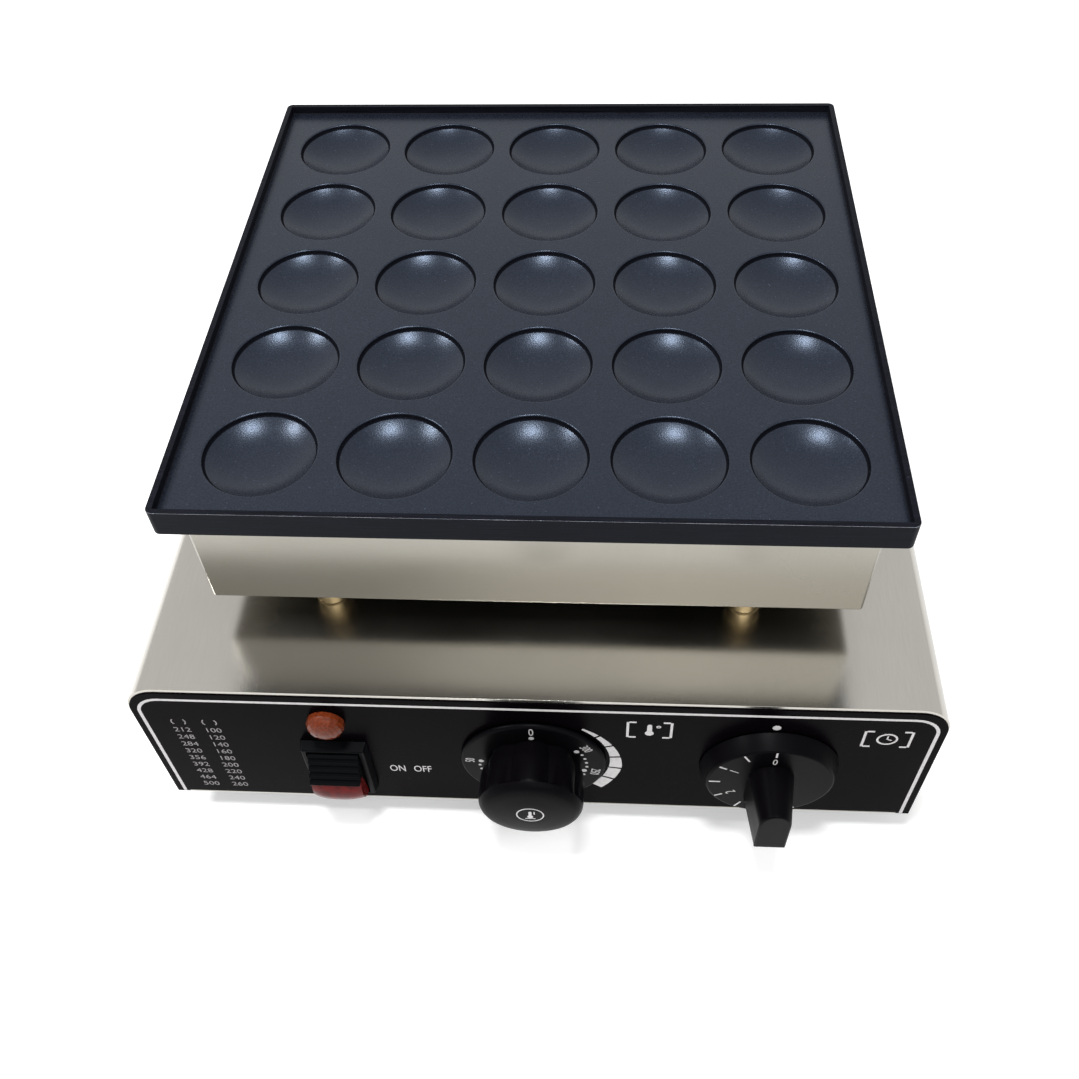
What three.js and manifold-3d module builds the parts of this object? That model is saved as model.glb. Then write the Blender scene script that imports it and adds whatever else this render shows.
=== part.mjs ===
// Electric mini pancake maker: a plate with round cavities on a heated head, which stands on four
// spacers over a base with the controls. Millimetres, +Z up, the controls face -Y.
// The origin is on the surface it stands on, under the middle of the whole machine.
import * as THREE from 'three';
import { mergeVertices } from 'three/addons/utils/BufferGeometryUtils.js';
import Module from 'manifold-3d';

const wasm = await Module();
wasm.setup();

// Clearances and counts shared by all pieces
const SEAT_GAP = 0.3;          // between two pieces that seat on each other
const BORE_CLEARANCE = 0.3;    // round what passes through a bore
const RUNNING_CLEARANCE = 0.5; // between the rocker and its window
const OVERRUN = 1;             // how far a cut runs past what it cuts
const ROUND_SIDES = 24;
const MEDIUM_SIDES = 16;
const SMALL_SIDES = 12;
const CORNER_STEPS = 4;
const BEND_STEPS = 3;
const DOME_STEPS = 4;
const TUBE_SIDES = 6;
const HEX_SIDES = 6;

// Baking plate, measured from the cooking face between the cavities
const CAVITIES_PER_SIDE = 5;
const CAVITY_PITCH = 55;
const CAVITY_RADIUS = 23.6;
const CAVITY_STEP = 2;         // steep wall at the mouth
const CAVITY_LEDGE = 1;        // the bowl starts this far inside the wall
const CAVITY_BOWL = 6;         // depth of the bowl under the step
const CAVITY_SIDES = 20;
const CAVITY_RINGS = 3;
const PLATE_SIDE = 293.5;
const PLATE_CORNER = 3;
const PLATE_THICKNESS = 8.6;
const RIM_HEIGHT = 4;
const RIM_WIDTH = 2.5;
const PAD_DEPTH = 5;           // thicker middle of the casting, inside the head
const PAD_MARGIN = 2.5;        // from the pad to the lip of the head
const PAD_CORNER = 3;

// Head: a folded tray with a lip that the plate rests on
const HEAD_SIDE = 276;
const HEAD_HEIGHT = 52.5;
const HEAD_SHEET = 1;
const HEAD_CORNER = 2;
const HEAD_LIP = 6;

// Heating under the plate
const ELEMENT_RADIUS = 3.25;
const ELEMENT_LEGS = 6;
const ELEMENT_PITCH = 40;
const ELEMENT_LEG_LENGTH = 190;
const TERMINAL_OFFSET = 14;    // from the ends of the legs to the two cold ends
const TERMINAL_BEND = 6;
const CLAMP_THICKNESS = 3;
const CLAMP_MARGIN = 4;        // from the clamp plate to the wall of the head
const BLANKET_THICKNESS = 14;
const BULB_RADIUS = 3;
const BULB_LENGTH = 80;
const BULB_SHIFT = 10;

// Long studs that hold the plate, the head and the base together
const STUD_RADIUS = 2.5;
const STUD_GRIP = 9;
const STUD_TAIL = 2;           // thread that shows past the lower nut
const STUD_X = 91.3;
const STUD_Y = 122;
const NUT_FLATS = 8;
const NUT_HEIGHT = 4;

// Spacers and conduit between the head and the base
const SPACER_HEIGHT = 16.4;
const SPACER_RADIUS = 7.3;
const CONDUIT_BORE = 8;
const CONDUIT_WALL = 2;
const CONDUIT_COLLAR = 4;
const CONDUIT_TAIL = 9;
const CONDUIT_NUT_HEIGHT = 3;
const CONDUIT_NUT_FLATS = 30;

// Base
const BASE_WIDTH = 349;
const BASE_DEPTH = 352;
const BASE_HEIGHT = 92;
const BASE_SHEET = 1.2;
const BASE_CORNER = 14.5;
const PANEL_THICKNESS = 0.8;
const FLANGE = 11;             // folded edges of the bottom plate and the rear panel
const SLOT_LENGTH = 44;
const SLOT_WIDTH = 4;
const SLOT_PITCH = 12;
const SLOT_COUNT = 5;
const BOTTOM_SLOTS_X = 70;
const BOTTOM_SLOTS_Y = 40;
const REAR_SLOTS_INSET = 109.5; // from the side of the base

// Feet
const FOOT_HEIGHT = 15;
const FOOT_TOP_RADIUS = 16;
const FOOT_TOE_RADIUS = 13.5;
const FOOT_INSET = 32;
const FOOT_WELL_RADIUS = 5.5;
const FOOT_WELL_DEPTH = 8;
const SCREW_RADIUS = 2;
const SCREW_HEAD_RADIUS = 4;
const SCREW_HEAD_HEIGHT = 2.6;
const SCREW_TAIL = 4;

// Places on the control panel: in from its sides, and up it as shares of its height
const TIMER_INSET = 70.3;
const SWITCH_INSET = 85.4;
const DIAL_SHARE = 0.467;
const LAMP_SHARE = 0.772;
const SWITCH_SHARE = 0.361;

// Thermostat and timer: a body behind the wall with a threaded bush through it
const BUSH_RADIUS = 4.8;
const BUSH_REACH = 3.2;        // past the face of the control panel
const BUSH_NUT_FLATS = 13;
const BUSH_NUT_HEIGHT = 2.2;
const SHAFT_RADIUS = 3;
const SHAFT_DEPTH = 12;        // inside the body
const THERMOSTAT_WIDTH = 46;
const THERMOSTAT_HEIGHT = 44;
const THERMOSTAT_DEPTH = 28;
const TIMER_WIDTH = 52;
const TIMER_CLEARANCE = 13.8;   // from the timer's body to the bottom plate
const TIMER_DEPTH = 38;
const BODY_CORNER = 4;

// Temperature knob: a thin skirt and a fluted grip
const KNOB_LIFT = 0.7;         // running gap between a knob and the panel
const KNOB_WELL_RADIUS = 10;
const KNOB_WELL_DEPTH = 4;
const KNOB_CAP = 6;            // material over the end of the shaft
const TEMPERATURE_SKIRT_RADIUS = 32.4;
const TEMPERATURE_SKIRT_TOP = 3;
const TEMPERATURE_GRIP_RADIUS = 23;
const TEMPERATURE_GRIP_END = 19;
const TEMPERATURE_SHOULDER = 21.6;
const TEMPERATURE_KNOB_REACH = 27.4;
const TEMPERATURE_DOME = 1.5;
const FLUTES = 8;
const FLUTE_DEPTH = 2.3;
const FLUTE_STEPS = 6;

// Timer knob: a conical skirt and a bar grip
const TIMER_SKIRT_RADIUS = 30.4;
const TIMER_SKIRT_FACE = 27.2;
const TIMER_SKIRT_TOP = 8.6;
const TIMER_BAR_TOP = 15;      // from the axis to the rounded upper end of the bar
const TIMER_BAR_DROP = 16;     // from the axis to the flat lower end of the bar
const TIMER_BAR_ROOT = 20;
const TIMER_BAR_END = 13.6;
const TIMER_KNOB_REACH = 31.5;

// Rocker switch
const SWITCH_WIDTH = 30;
const SWITCH_HEIGHT = 41.2;
const SWITCH_FRAME = 5.2;        // how far the frame stands out
const SWITCH_DRAFT = 1;
const SWITCH_BODY_STEP = 1.2;  // the body is this much smaller than the frame all round
const SWITCH_BODY_DEPTH = 26;
const SWITCH_WINDOW_DEPTH = 9.5; // behind the panel's face
const ROCKER_WIDTH = 22.8;
const ROCKER_RADIUS = 18;    // of its ends, about the pivot
const ROCKER_PIVOT = 1;        // out from the panel's face
const ROCKER_HUMP = 12;      // at the line between the cap and the red lens
const ROCKER_SPLIT = 2.6;
const ROCKER_TOP_LIP = 2.6;
const ROCKER_SKIRT = 3;
const LENS_PEAK = 13.2;
const LENS_WALL = 5;
const LENS_GAP = 0.3;
const RIB_COUNT = 5;
const RIB_GROOVE = 0.9;
const PIN_RADIUS = 1.5;
const PIN_GRIP = 1.4;          // of the housing's pin inside the rocker

// Indicator lamp
const LAMP_RADIUS = 8;
const LAMP_REACH = 7.3;
const LAMP_FLANGE = 1.2;
const LAMP_NECK_RADIUS = 5.8;
const LAMP_NECK_WALL = 1.6;
const LAMP_NECK_LENGTH = 18;
const LAMP_NUT_FLATS = 15;
const LAMP_NUT_HEIGHT = 3;
const LENS_SPIGOT = 3;
const LAMP_SIDES = 20;

// Wiring
const LEAD_RADIUS = 1.6;
const CAPILLARY_RADIUS = 1;
const LEAD_BEND = 9;
const HEAD_LEAD_LEVEL = 9;     // over the floor of the head
const BASE_LEAD_LEVEL = 26;    // under the top of the base
const LEAD_SPREAD = 4.2;       // of what passes through the conduit, from its axis
const BLOCK_LENGTH = 38;
const BLOCK_WIDTH = 20;
const BLOCK_HEIGHT = 16;
const BLOCK_SHIFT = 20;        // from the gland, towards the middle
const BLOCK_Y = 90;
const BLOCK_WAYS = 3;
const BLOCK_WAY_RADIUS = 2.2;
const BLOCK_WAY_DEPTH = 7;

// Cord gland in the rear panel
const GLAND_INSET = 52;
const GLAND_Z = 42;            // over the bottom of the base
const GLAND_BORE = 4.5;
const GLAND_THREAD_RADIUS = 8;
const GLAND_THREAD_LENGTH = 12;
const GLAND_FLATS = 22;
const GLAND_HEX_LENGTH = 5;
const GLAND_CAP_RADIUS = 9.5;
const GLAND_MOUTH_RADIUS = 6.5;
const GLAND_REACH = 18;
const GLAND_NUT_HEIGHT = 4;

// Levels over the surface that the machine stands on
const BASE_BOTTOM = FOOT_HEIGHT;
const BASE_TOP = BASE_BOTTOM + BASE_HEIGHT;
const HEAD_BOTTOM = BASE_TOP + SPACER_HEIGHT;
const HEAD_FLOOR = HEAD_BOTTOM + HEAD_SHEET;
const HEAD_TOP = HEAD_BOTTOM + HEAD_HEIGHT;
const PAD_BOTTOM = HEAD_TOP - PAD_DEPTH;
const ELEMENT_LEVEL = PAD_BOTTOM - SEAT_GAP - ELEMENT_RADIUS;
const BULB_LEVEL = PAD_BOTTOM - SEAT_GAP - BULB_RADIUS;
const CLAMP_TOP = ELEMENT_LEVEL - ELEMENT_RADIUS - SEAT_GAP;
const CLAMP_BOTTOM = CLAMP_TOP - CLAMP_THICKNESS;
const BLANKET_TOP = CLAMP_BOTTOM - SEAT_GAP;
const BLANKET_BOTTOM = BLANKET_TOP - BLANKET_THICKNESS;
const STUD_TOP = PAD_BOTTOM + STUD_GRIP;
const BASE_NUT_TOP = BASE_TOP - BASE_SHEET - SEAT_GAP;
const STUD_BOTTOM = BASE_NUT_TOP - NUT_HEIGHT - STUD_TAIL;

// Sizes that follow
const HEAD_INSIDE = HEAD_SIDE - 2 * HEAD_SHEET;
const LIP_SIDE = HEAD_INSIDE - 2 * HEAD_LIP;
const PAD_SIDE = LIP_SIDE - 2 * PAD_MARGIN;
const CLAMP_SIDE = HEAD_INSIDE - 2 * CLAMP_MARGIN;
const STUD_HOLE = STUD_RADIUS + BORE_CLEARANCE;
const NUT_HOLE = NUT_FLATS / Math.sqrt(3) + BORE_CLEARANCE;
const CONDUIT_RADIUS = CONDUIT_BORE + CONDUIT_WALL;
const CONDUIT_HOLE = CONDUIT_RADIUS + BORE_CLEARANCE;
const BASE_INSIDE = BASE_WIDTH - 2 * BASE_SHEET;
const WALL_FACE = -PANEL_THICKNESS - SEAT_GAP;     // front of the base's front wall
const WALL_BACK = WALL_FACE - BASE_SHEET;
const BEHIND_WALL = WALL_BACK - SEAT_GAP;
const TIMER_X = BASE_WIDTH / 2 - TIMER_INSET;
const SWITCH_X = SWITCH_INSET - BASE_WIDTH / 2;
const LAMP_X = SWITCH_X;
const DIAL_Y = BASE_HEIGHT * DIAL_SHARE;
const LAMP_Y = BASE_HEIGHT * LAMP_SHARE;
const SWITCH_Y = BASE_HEIGHT * SWITCH_SHARE;
const TIMER_HEIGHT = 2 * (DIAL_Y - BASE_SHEET - TIMER_CLEARANCE);
const BUSH_HOLE = BUSH_RADIUS + BORE_CLEARANCE;
const SHAFT_BORE = SHAFT_RADIUS + BORE_CLEARANCE;
const SHAFT_BACK = BEHIND_WALL - SHAFT_DEPTH;
const LAMP_HOLE = LAMP_NECK_RADIUS + BORE_CLEARANCE;
const LAMP_BORE = LAMP_NECK_RADIUS - LAMP_NECK_WALL;
const SWITCH_BODY_WIDTH = SWITCH_WIDTH - 2 * SWITCH_BODY_STEP;
const SWITCH_BODY_HEIGHT = SWITCH_HEIGHT - 2 * SWITCH_BODY_STEP;
const SWITCH_BACK = BEHIND_WALL - SWITCH_BODY_DEPTH;
const WINDOW_WIDTH = ROCKER_WIDTH + 2 * RUNNING_CLEARANCE;
const WINDOW_HEIGHT = 2 * (ROCKER_RADIUS + RUNNING_CLEARANCE);
const BLOCK_BOTTOM = BASE_BOTTOM + BASE_SHEET + SEAT_GAP;
const GLAND_X = GLAND_INSET - BASE_WIDTH / 2;
const BLOCK_X = GLAND_X + BLOCK_SHIFT;
const REAR_SLOTS_X = BASE_WIDTH / 2 - REAR_SLOTS_INSET;
const BLOCK_WAY_PITCH = BLOCK_LENGTH / BLOCK_WAYS;
const GLAND_HOLE = GLAND_THREAD_RADIUS + BORE_CLEARANCE;
const FRONT_REACH = Math.max(TEMPERATURE_KNOB_REACH, TIMER_KNOB_REACH);
const QUARTER_TURN = Math.PI / 2;

// Solid modelling helpers

function toSolid(geometry) {
  const bare = geometry.clone();
  bare.deleteAttribute('normal');
  bare.deleteAttribute('uv');
  const merged = mergeVertices(bare);
  const mesh = new wasm.Mesh({
    numProp: 3,
    vertProperties: merged.attributes.position.array,
    triVerts: Uint32Array.from(merged.index.array),
  });
  return new wasm.Manifold(mesh);
}

function toGeometry(solid) {
  const mesh = solid.getMesh();
  const geometry = new THREE.BufferGeometry();
  geometry.setAttribute('position', new THREE.BufferAttribute(mesh.vertProperties, 3));
  geometry.setIndex(new THREE.BufferAttribute(mesh.triVerts, 1));
  geometry.computeVertexNormals();
  return geometry;
}

function cut(body, tools) {
  const start = toSolid(body);
  return toGeometry(tools.reduce((solid, tool) => solid.subtract(toSolid(tool)), start));
}

function join(bodies) {
  const [first, ...rest] = bodies.map(toSolid);
  return toGeometry(rest.reduce((solid, body) => solid.add(body), first));
}

function common(body, other) {
  return toGeometry(toSolid(body).intersect(toSolid(other)));
}

// Shapes that stand on z = bottom

function prism(shape, bottom, top) {
  const options = { depth: top - bottom, bevelEnabled: false, curveSegments: CORNER_STEPS / 2 };
  return new THREE.ExtrudeGeometry(shape, options).translate(0, 0, bottom);
}

function disc(radius, bottom, top, x = 0, y = 0, sides = SMALL_SIDES) {
  const geometry = new THREE.CylinderGeometry(radius, radius, top - bottom, sides);
  return geometry.rotateX(QUARTER_TURN).translate(x, y, (bottom + top) / 2);
}

// A cutter for a round hole: its flats lie on the radius, so that what fits the radius fits the hole
function hole(radius, bottom, top, x = 0, y = 0, sides = SMALL_SIDES) {
  return disc(radius / Math.cos(Math.PI / sides), bottom, top, x, y, sides);
}

function block(width, depth, bottom, top, x = 0, y = 0) {
  return new THREE.BoxGeometry(width, depth, top - bottom).translate(x, y, (bottom + top) / 2);
}

// A block whose upper face is smaller by the draft on every side
function draftedBlock(width, depth, bottom, top, draft) {
  const geometry = block(width, depth, bottom, top);
  const place = geometry.attributes.position;
  for (let i = 0; i < place.count; i += 1) {
    if (place.getZ(i) > (bottom + top) / 2) {
      place.setX(i, place.getX(i) - Math.sign(place.getX(i)) * draft);
      place.setY(i, place.getY(i) - Math.sign(place.getY(i)) * draft);
    }
  }
  return geometry;
}

// Turns a closed or axis-to-axis profile of [radius, height] points about Z
function turned(profile, sides = ROUND_SIDES) {
  const points = profile.map(([radius, height]) => new THREE.Vector2(radius, height));
  return new THREE.LatheGeometry(points, sides).rotateX(QUARTER_TURN);
}

function ring(inner, outer, bottom, top, sides = ROUND_SIDES) {
  return turned([[inner, bottom], [outer, bottom], [outer, top], [inner, top], [inner, bottom]], sides);
}

function roundedRectangle(width, height, radius) {
  const x = width / 2 - radius;
  const y = height / 2 - radius;
  const shape = new THREE.Shape();
  shape.absarc(x, y, radius, 0, QUARTER_TURN);
  shape.absarc(-x, y, radius, QUARTER_TURN, 2 * QUARTER_TURN);
  shape.absarc(-x, -y, radius, 2 * QUARTER_TURN, 3 * QUARTER_TURN);
  shape.absarc(x, -y, radius, 3 * QUARTER_TURN, 4 * QUARTER_TURN);
  return shape;
}

// Front outline of the base: square below, round at the two upper edges
function archedOutline(width, bottom, top, radius) {
  const shape = new THREE.Shape();
  shape.moveTo(-width / 2, bottom);
  shape.lineTo(width / 2, bottom);
  shape.absarc(width / 2 - radius, top - radius, radius, 0, QUARTER_TURN);
  shape.absarc(-width / 2 + radius, top - radius, radius, QUARTER_TURN, 2 * QUARTER_TURN);
  return shape;
}

function polygon(points) {
  return new THREE.Shape(points.map(([x, y]) => new THREE.Vector2(x, y)));
}

function hexPrism(flats, bottom, top) {
  return disc(flats / Math.sqrt(3), bottom, top, 0, 0, HEX_SIDES);
}

function hexNut(flats, bottom, top, bore) {
  const hex = hexPrism(flats, bottom, top);
  return cut(hex, [hole(bore, bottom - OVERRUN, top + OVERRUN)]);
}

// A path through given points, with one step of the tube from each point to the next
class Route extends THREE.Curve {
  constructor(points) {
    super();
    this.points = points;
  }

  getPoint(share, target = new THREE.Vector3()) {
    const last = this.points.length - 1;
    const index = Math.min(Math.round(share * last), last);
    return target.copy(this.points[index]);
  }

  getPointAt(share, target) {
    return this.getPoint(share, target);
  }

  getTangentAt(share, target = new THREE.Vector3()) {
    const last = this.points.length - 1;
    const index = Math.min(Math.round(share * last), last);
    const before = this.points[Math.max(index - 1, 0)];
    const after = this.points[Math.min(index + 1, last)];
    return target.copy(after).sub(before).normalize();
  }
}

// Straight runs between the corners, with a bend of the given radius at each corner
function bentRoute(corners, radius) {
  const places = corners.map(([x, y, z]) => new THREE.Vector3(x, y, z));
  const points = [places[0]];
  for (let i = 1; i < places.length - 1; i += 1) {
    const back = places[i - 1].clone().sub(places[i]);
    const ahead = places[i + 1].clone().sub(places[i]);
    const reach = Math.min(radius, back.length() / 2, ahead.length() / 2);
    const start = places[i].clone().addScaledVector(back.normalize(), reach);
    const end = places[i].clone().addScaledVector(ahead.normalize(), reach);
    const bend = new THREE.QuadraticBezierCurve3(start, places[i], end);
    points.push(...bend.getPoints(BEND_STEPS));
  }
  points.push(places[places.length - 1]);
  return points.filter((point, i) => i === 0 || point.distanceTo(points[i - 1]) > SEAT_GAP);
}

function tube(points, radius) {
  const section = new THREE.Shape().absarc(0, 0, radius, 0, 4 * QUARTER_TURN);
  const options = {
    steps: points.length - 1,
    curveSegments: TUBE_SIDES / 2,
    extrudePath: new Route(points),
    bevelEnabled: false,
  };
  return new THREE.ExtrudeGeometry(section, options);
}

// Places that repeat

const cornersOf = (x, y) => [[-x, -y], [x, -y], [-x, y], [x, y]];
const STUD_PLACES = cornersOf(STUD_X, STUD_Y);
const FOOT_PLACES = cornersOf(BASE_WIDTH / 2 - FOOT_INSET, BASE_DEPTH / 2 - FOOT_INSET);
const TERMINAL_X = -ELEMENT_LEG_LENGTH / 2 - TERMINAL_OFFSET;
const TERMINAL_Y = (ELEMENT_LEGS - 1) * ELEMENT_PITCH / 2;
const BULB_END = BULB_SHIFT + BULB_LENGTH / 2;
const CAPILLARY_DROP = BULB_END + LEAD_BEND;

function studHoles(radius, bottom, top) {
  return STUD_PLACES.map(([x, y]) => hole(radius, bottom, top, x, y));
}

// Holes in the clamp plate and the blanket for the cold ends and the capillary tube
function wiringHoles(bottom, top) {
  return [
    hole(ELEMENT_RADIUS + OVERRUN, bottom, top, TERMINAL_X, -TERMINAL_Y),
    hole(ELEMENT_RADIUS + OVERRUN, bottom, top, TERMINAL_X, TERMINAL_Y),
    hole(CAPILLARY_RADIUS + OVERRUN, bottom, top, CAPILLARY_DROP, 0),
  ];
}

// Head

function bakingPlate() {
  const rimTop = PLATE_THICKNESS + RIM_HEIGHT;
  const recess = roundedRectangle(PLATE_SIDE - 2 * RIM_WIDTH, PLATE_SIDE - 2 * RIM_WIDTH, PLATE_CORNER / 2);
  const casting = join([
    prism(roundedRectangle(PLATE_SIDE, PLATE_SIDE, PLATE_CORNER), 0, rimTop),
    prism(roundedRectangle(PAD_SIDE, PAD_SIDE, PAD_CORNER), -PAD_DEPTH, PLATE_THICKNESS / 2),
  ]);
  const middle = (CAVITIES_PER_SIDE - 1) / 2;
  const cavities = [];
  for (let row = 0; row < CAVITIES_PER_SIDE; row += 1) {
    for (let column = 0; column < CAVITIES_PER_SIDE; column += 1) {
      const x = (column - middle) * CAVITY_PITCH;
      const y = (row - middle) * CAVITY_PITCH;
      cavities.push(cavity().translate(x, y, PLATE_THICKNESS));
    }
  }
  return cut(casting, [
    prism(recess, PLATE_THICKNESS, rimTop + OVERRUN),
    ...cavities,
    ...studHoles(STUD_HOLE, -PAD_DEPTH - OVERRUN, STUD_GRIP - PAD_DEPTH + SEAT_GAP),
  ]);
}

// The space of one cavity: a steep wall and under it a shallow bowl
function cavity() {
  const mouth = CAVITY_RADIUS - CAVITY_LEDGE;
  const sphere = (mouth ** 2 + CAVITY_BOWL ** 2) / (2 * CAVITY_BOWL);
  const spread = Math.asin(mouth / sphere);
  const floor = -CAVITY_STEP - CAVITY_BOWL;
  const profile = [];
  for (let i = 0; i <= CAVITY_RINGS; i += 1) {
    const angle = spread * i / CAVITY_RINGS;
    profile.push([sphere * Math.sin(angle), floor + sphere * (1 - Math.cos(angle))]);
  }
  profile.push([CAVITY_RADIUS, 0], [CAVITY_RADIUS, OVERRUN], [0, OVERRUN]);
  return turned(profile, CAVITY_SIDES);
}

function headHousing() {
  const top = HEAD_HEIGHT - SEAT_GAP;
  const insideCorner = HEAD_CORNER - HEAD_SHEET;
  return cut(prism(roundedRectangle(HEAD_SIDE, HEAD_SIDE, HEAD_CORNER), 0, top), [
    prism(roundedRectangle(HEAD_INSIDE, HEAD_INSIDE, insideCorner), HEAD_SHEET, top - HEAD_SHEET),
    prism(roundedRectangle(LIP_SIDE, LIP_SIDE, PAD_CORNER), HEAD_SHEET, top + OVERRUN),
    ...studHoles(STUD_HOLE, -OVERRUN, HEAD_SHEET + OVERRUN),
    hole(CONDUIT_HOLE, -OVERRUN, HEAD_SHEET + OVERRUN, 0, 0, ROUND_SIDES),
  ]);
}

// One unbroken tube: down one cold end, to and fro under the plate, and down the other cold end
function heatingElement() {
  const half = ELEMENT_LEG_LENGTH / 2;
  const bend = ELEMENT_PITCH / 2;
  const coldEnd = BLANKET_BOTTOM - ELEMENT_LEVEL - ELEMENT_RADIUS;
  const steps = 2 * BEND_STEPS;
  const points = bentRoute([
    [TERMINAL_X, -TERMINAL_Y, coldEnd],
    [TERMINAL_X, -TERMINAL_Y, 0],
    [-half, -TERMINAL_Y, 0],
  ], TERMINAL_BEND);
  for (let leg = 0; leg < ELEMENT_LEGS - 1; leg += 1) {
    const side = leg % 2 === 0 ? 1 : -1;
    const y = -TERMINAL_Y + leg * ELEMENT_PITCH + bend;
    for (let i = 0; i <= steps; i += 1) {
      const angle = Math.PI * i / steps - QUARTER_TURN;
      points.push(new THREE.Vector3(side * (half + bend * Math.cos(angle)), y + bend * Math.sin(angle), 0));
    }
  }
  const last = bentRoute([
    [-half, TERMINAL_Y, 0],
    [TERMINAL_X, TERMINAL_Y, 0],
    [TERMINAL_X, TERMINAL_Y, coldEnd],
  ], TERMINAL_BEND);
  return tube([...points, ...last], ELEMENT_RADIUS);
}

function clampPlate() {
  return cut(prism(roundedRectangle(CLAMP_SIDE, CLAMP_SIDE, PAD_CORNER), 0, CLAMP_THICKNESS), [
    ...studHoles(STUD_HOLE, -OVERRUN, CLAMP_THICKNESS + OVERRUN),
    ...wiringHoles(-OVERRUN, CLAMP_THICKNESS + OVERRUN),
  ]);
}

function insulationBlanket() {
  return cut(prism(roundedRectangle(CLAMP_SIDE, CLAMP_SIDE, PAD_CORNER), 0, BLANKET_THICKNESS), [
    ...studHoles(NUT_HOLE, -OVERRUN, BLANKET_THICKNESS + OVERRUN),
    ...wiringHoles(-OVERRUN, BLANKET_THICKNESS + OVERRUN),
  ]);
}

function thermostatBulb() {
  const rod = new THREE.CylinderGeometry(BULB_RADIUS, BULB_RADIUS, BULB_LENGTH, SMALL_SIDES);
  return rod.rotateZ(QUARTER_TURN);
}

// Between head and base

function stud() {
  return disc(STUD_RADIUS, 0, STUD_TOP - STUD_BOTTOM);
}

function brassSpacer() {
  return ring(STUD_HOLE, SPACER_RADIUS, 0, SPACER_HEIGHT - 2 * SEAT_GAP, MEDIUM_SIDES);
}

// A tube through both sheets, with a collar that seats between them
function wiringConduit() {
  const collar = CONDUIT_RADIUS + CONDUIT_COLLAR;
  const bottom = -CONDUIT_TAIL;
  const collarTop = SPACER_HEIGHT - SEAT_GAP;
  const top = SPACER_HEIGHT + HEAD_SHEET + SEAT_GAP;
  return turned([
    [CONDUIT_BORE, bottom],
    [CONDUIT_RADIUS, bottom],
    [CONDUIT_RADIUS, SEAT_GAP],
    [collar, SEAT_GAP],
    [collar, collarTop],
    [CONDUIT_RADIUS, collarTop],
    [CONDUIT_RADIUS, top],
    [CONDUIT_BORE, top],
    [CONDUIT_BORE, bottom],
  ], ROUND_SIDES);
}

// Base. These are drawn as seen from the front, upright, and stand out towards the viewer.

function controlHoles(back, front) {
  return [
    hole(BUSH_HOLE, back, front, 0, DIAL_Y),
    hole(BUSH_HOLE, back, front, TIMER_X, DIAL_Y),
    hole(LAMP_HOLE, back, front, LAMP_X, LAMP_Y),
    block(SWITCH_BODY_WIDTH + 2 * BORE_CLEARANCE, SWITCH_BODY_HEIGHT + 2 * BORE_CLEARANCE,
      back, front, SWITCH_X, SWITCH_Y),
  ];
}

function baseShell() {
  const outer = archedOutline(BASE_WIDTH, 0, BASE_HEIGHT, BASE_CORNER);
  const inner = archedOutline(BASE_INSIDE, -OVERRUN, BASE_HEIGHT - BASE_SHEET, BASE_CORNER - BASE_SHEET);
  const topHoles = [
    ...studHoles(STUD_HOLE, -BASE_SHEET - OVERRUN, OVERRUN),
    hole(CONDUIT_HOLE, -BASE_SHEET - OVERRUN, OVERRUN, 0, 0, ROUND_SIDES),
  ];
  return cut(prism(outer, -BASE_DEPTH, WALL_FACE), [
    prism(inner, -BASE_DEPTH - OVERRUN, WALL_BACK),
    ...controlHoles(WALL_BACK - OVERRUN, WALL_FACE + OVERRUN),
    ...topHoles.map((tool) => tool.rotateX(-QUARTER_TURN).translate(0, BASE_HEIGHT, -BASE_DEPTH / 2)),
  ]);
}

function controlPanel() {
  const outline = archedOutline(BASE_WIDTH, 0, BASE_HEIGHT, BASE_CORNER);
  return cut(prism(outline, -PANEL_THICKNESS, 0), controlHoles(-PANEL_THICKNESS - OVERRUN, OVERRUN));
}

function ventSlots(x, y, bottom, top) {
  return Array.from({ length: SLOT_COUNT }, (_, i) => (
    block(SLOT_LENGTH, SLOT_WIDTH, bottom, top, x, y + (i - (SLOT_COUNT - 1) / 2) * SLOT_PITCH)
  ));
}

// A shallow tray that closes the back of the shell, above the flange of the bottom plate
function rearPanel() {
  const width = BASE_INSIDE - 2 * SEAT_GAP;
  const bottom = FLANGE + SEAT_GAP;
  const top = BASE_HEIGHT - BASE_SHEET - SEAT_GAP;
  const corner = BASE_CORNER - BASE_SHEET - SEAT_GAP;
  const inside = archedOutline(width - 2 * BASE_SHEET, bottom + BASE_SHEET, top - BASE_SHEET,
    corner - BASE_SHEET);
  const middle = (bottom + top) / 2;
  return cut(prism(archedOutline(width, bottom, top, corner), 0, FLANGE), [
    prism(inside, BASE_SHEET, FLANGE + OVERRUN),
    ...ventSlots(-REAR_SLOTS_X, middle, -OVERRUN, BASE_SHEET + OVERRUN),
    ...ventSlots(REAR_SLOTS_X, middle, -OVERRUN, BASE_SHEET + OVERRUN),
    hole(GLAND_HOLE, -OVERRUN, BASE_SHEET + OVERRUN, GLAND_X, GLAND_Z, ROUND_SIDES),
  ]);
}

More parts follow.
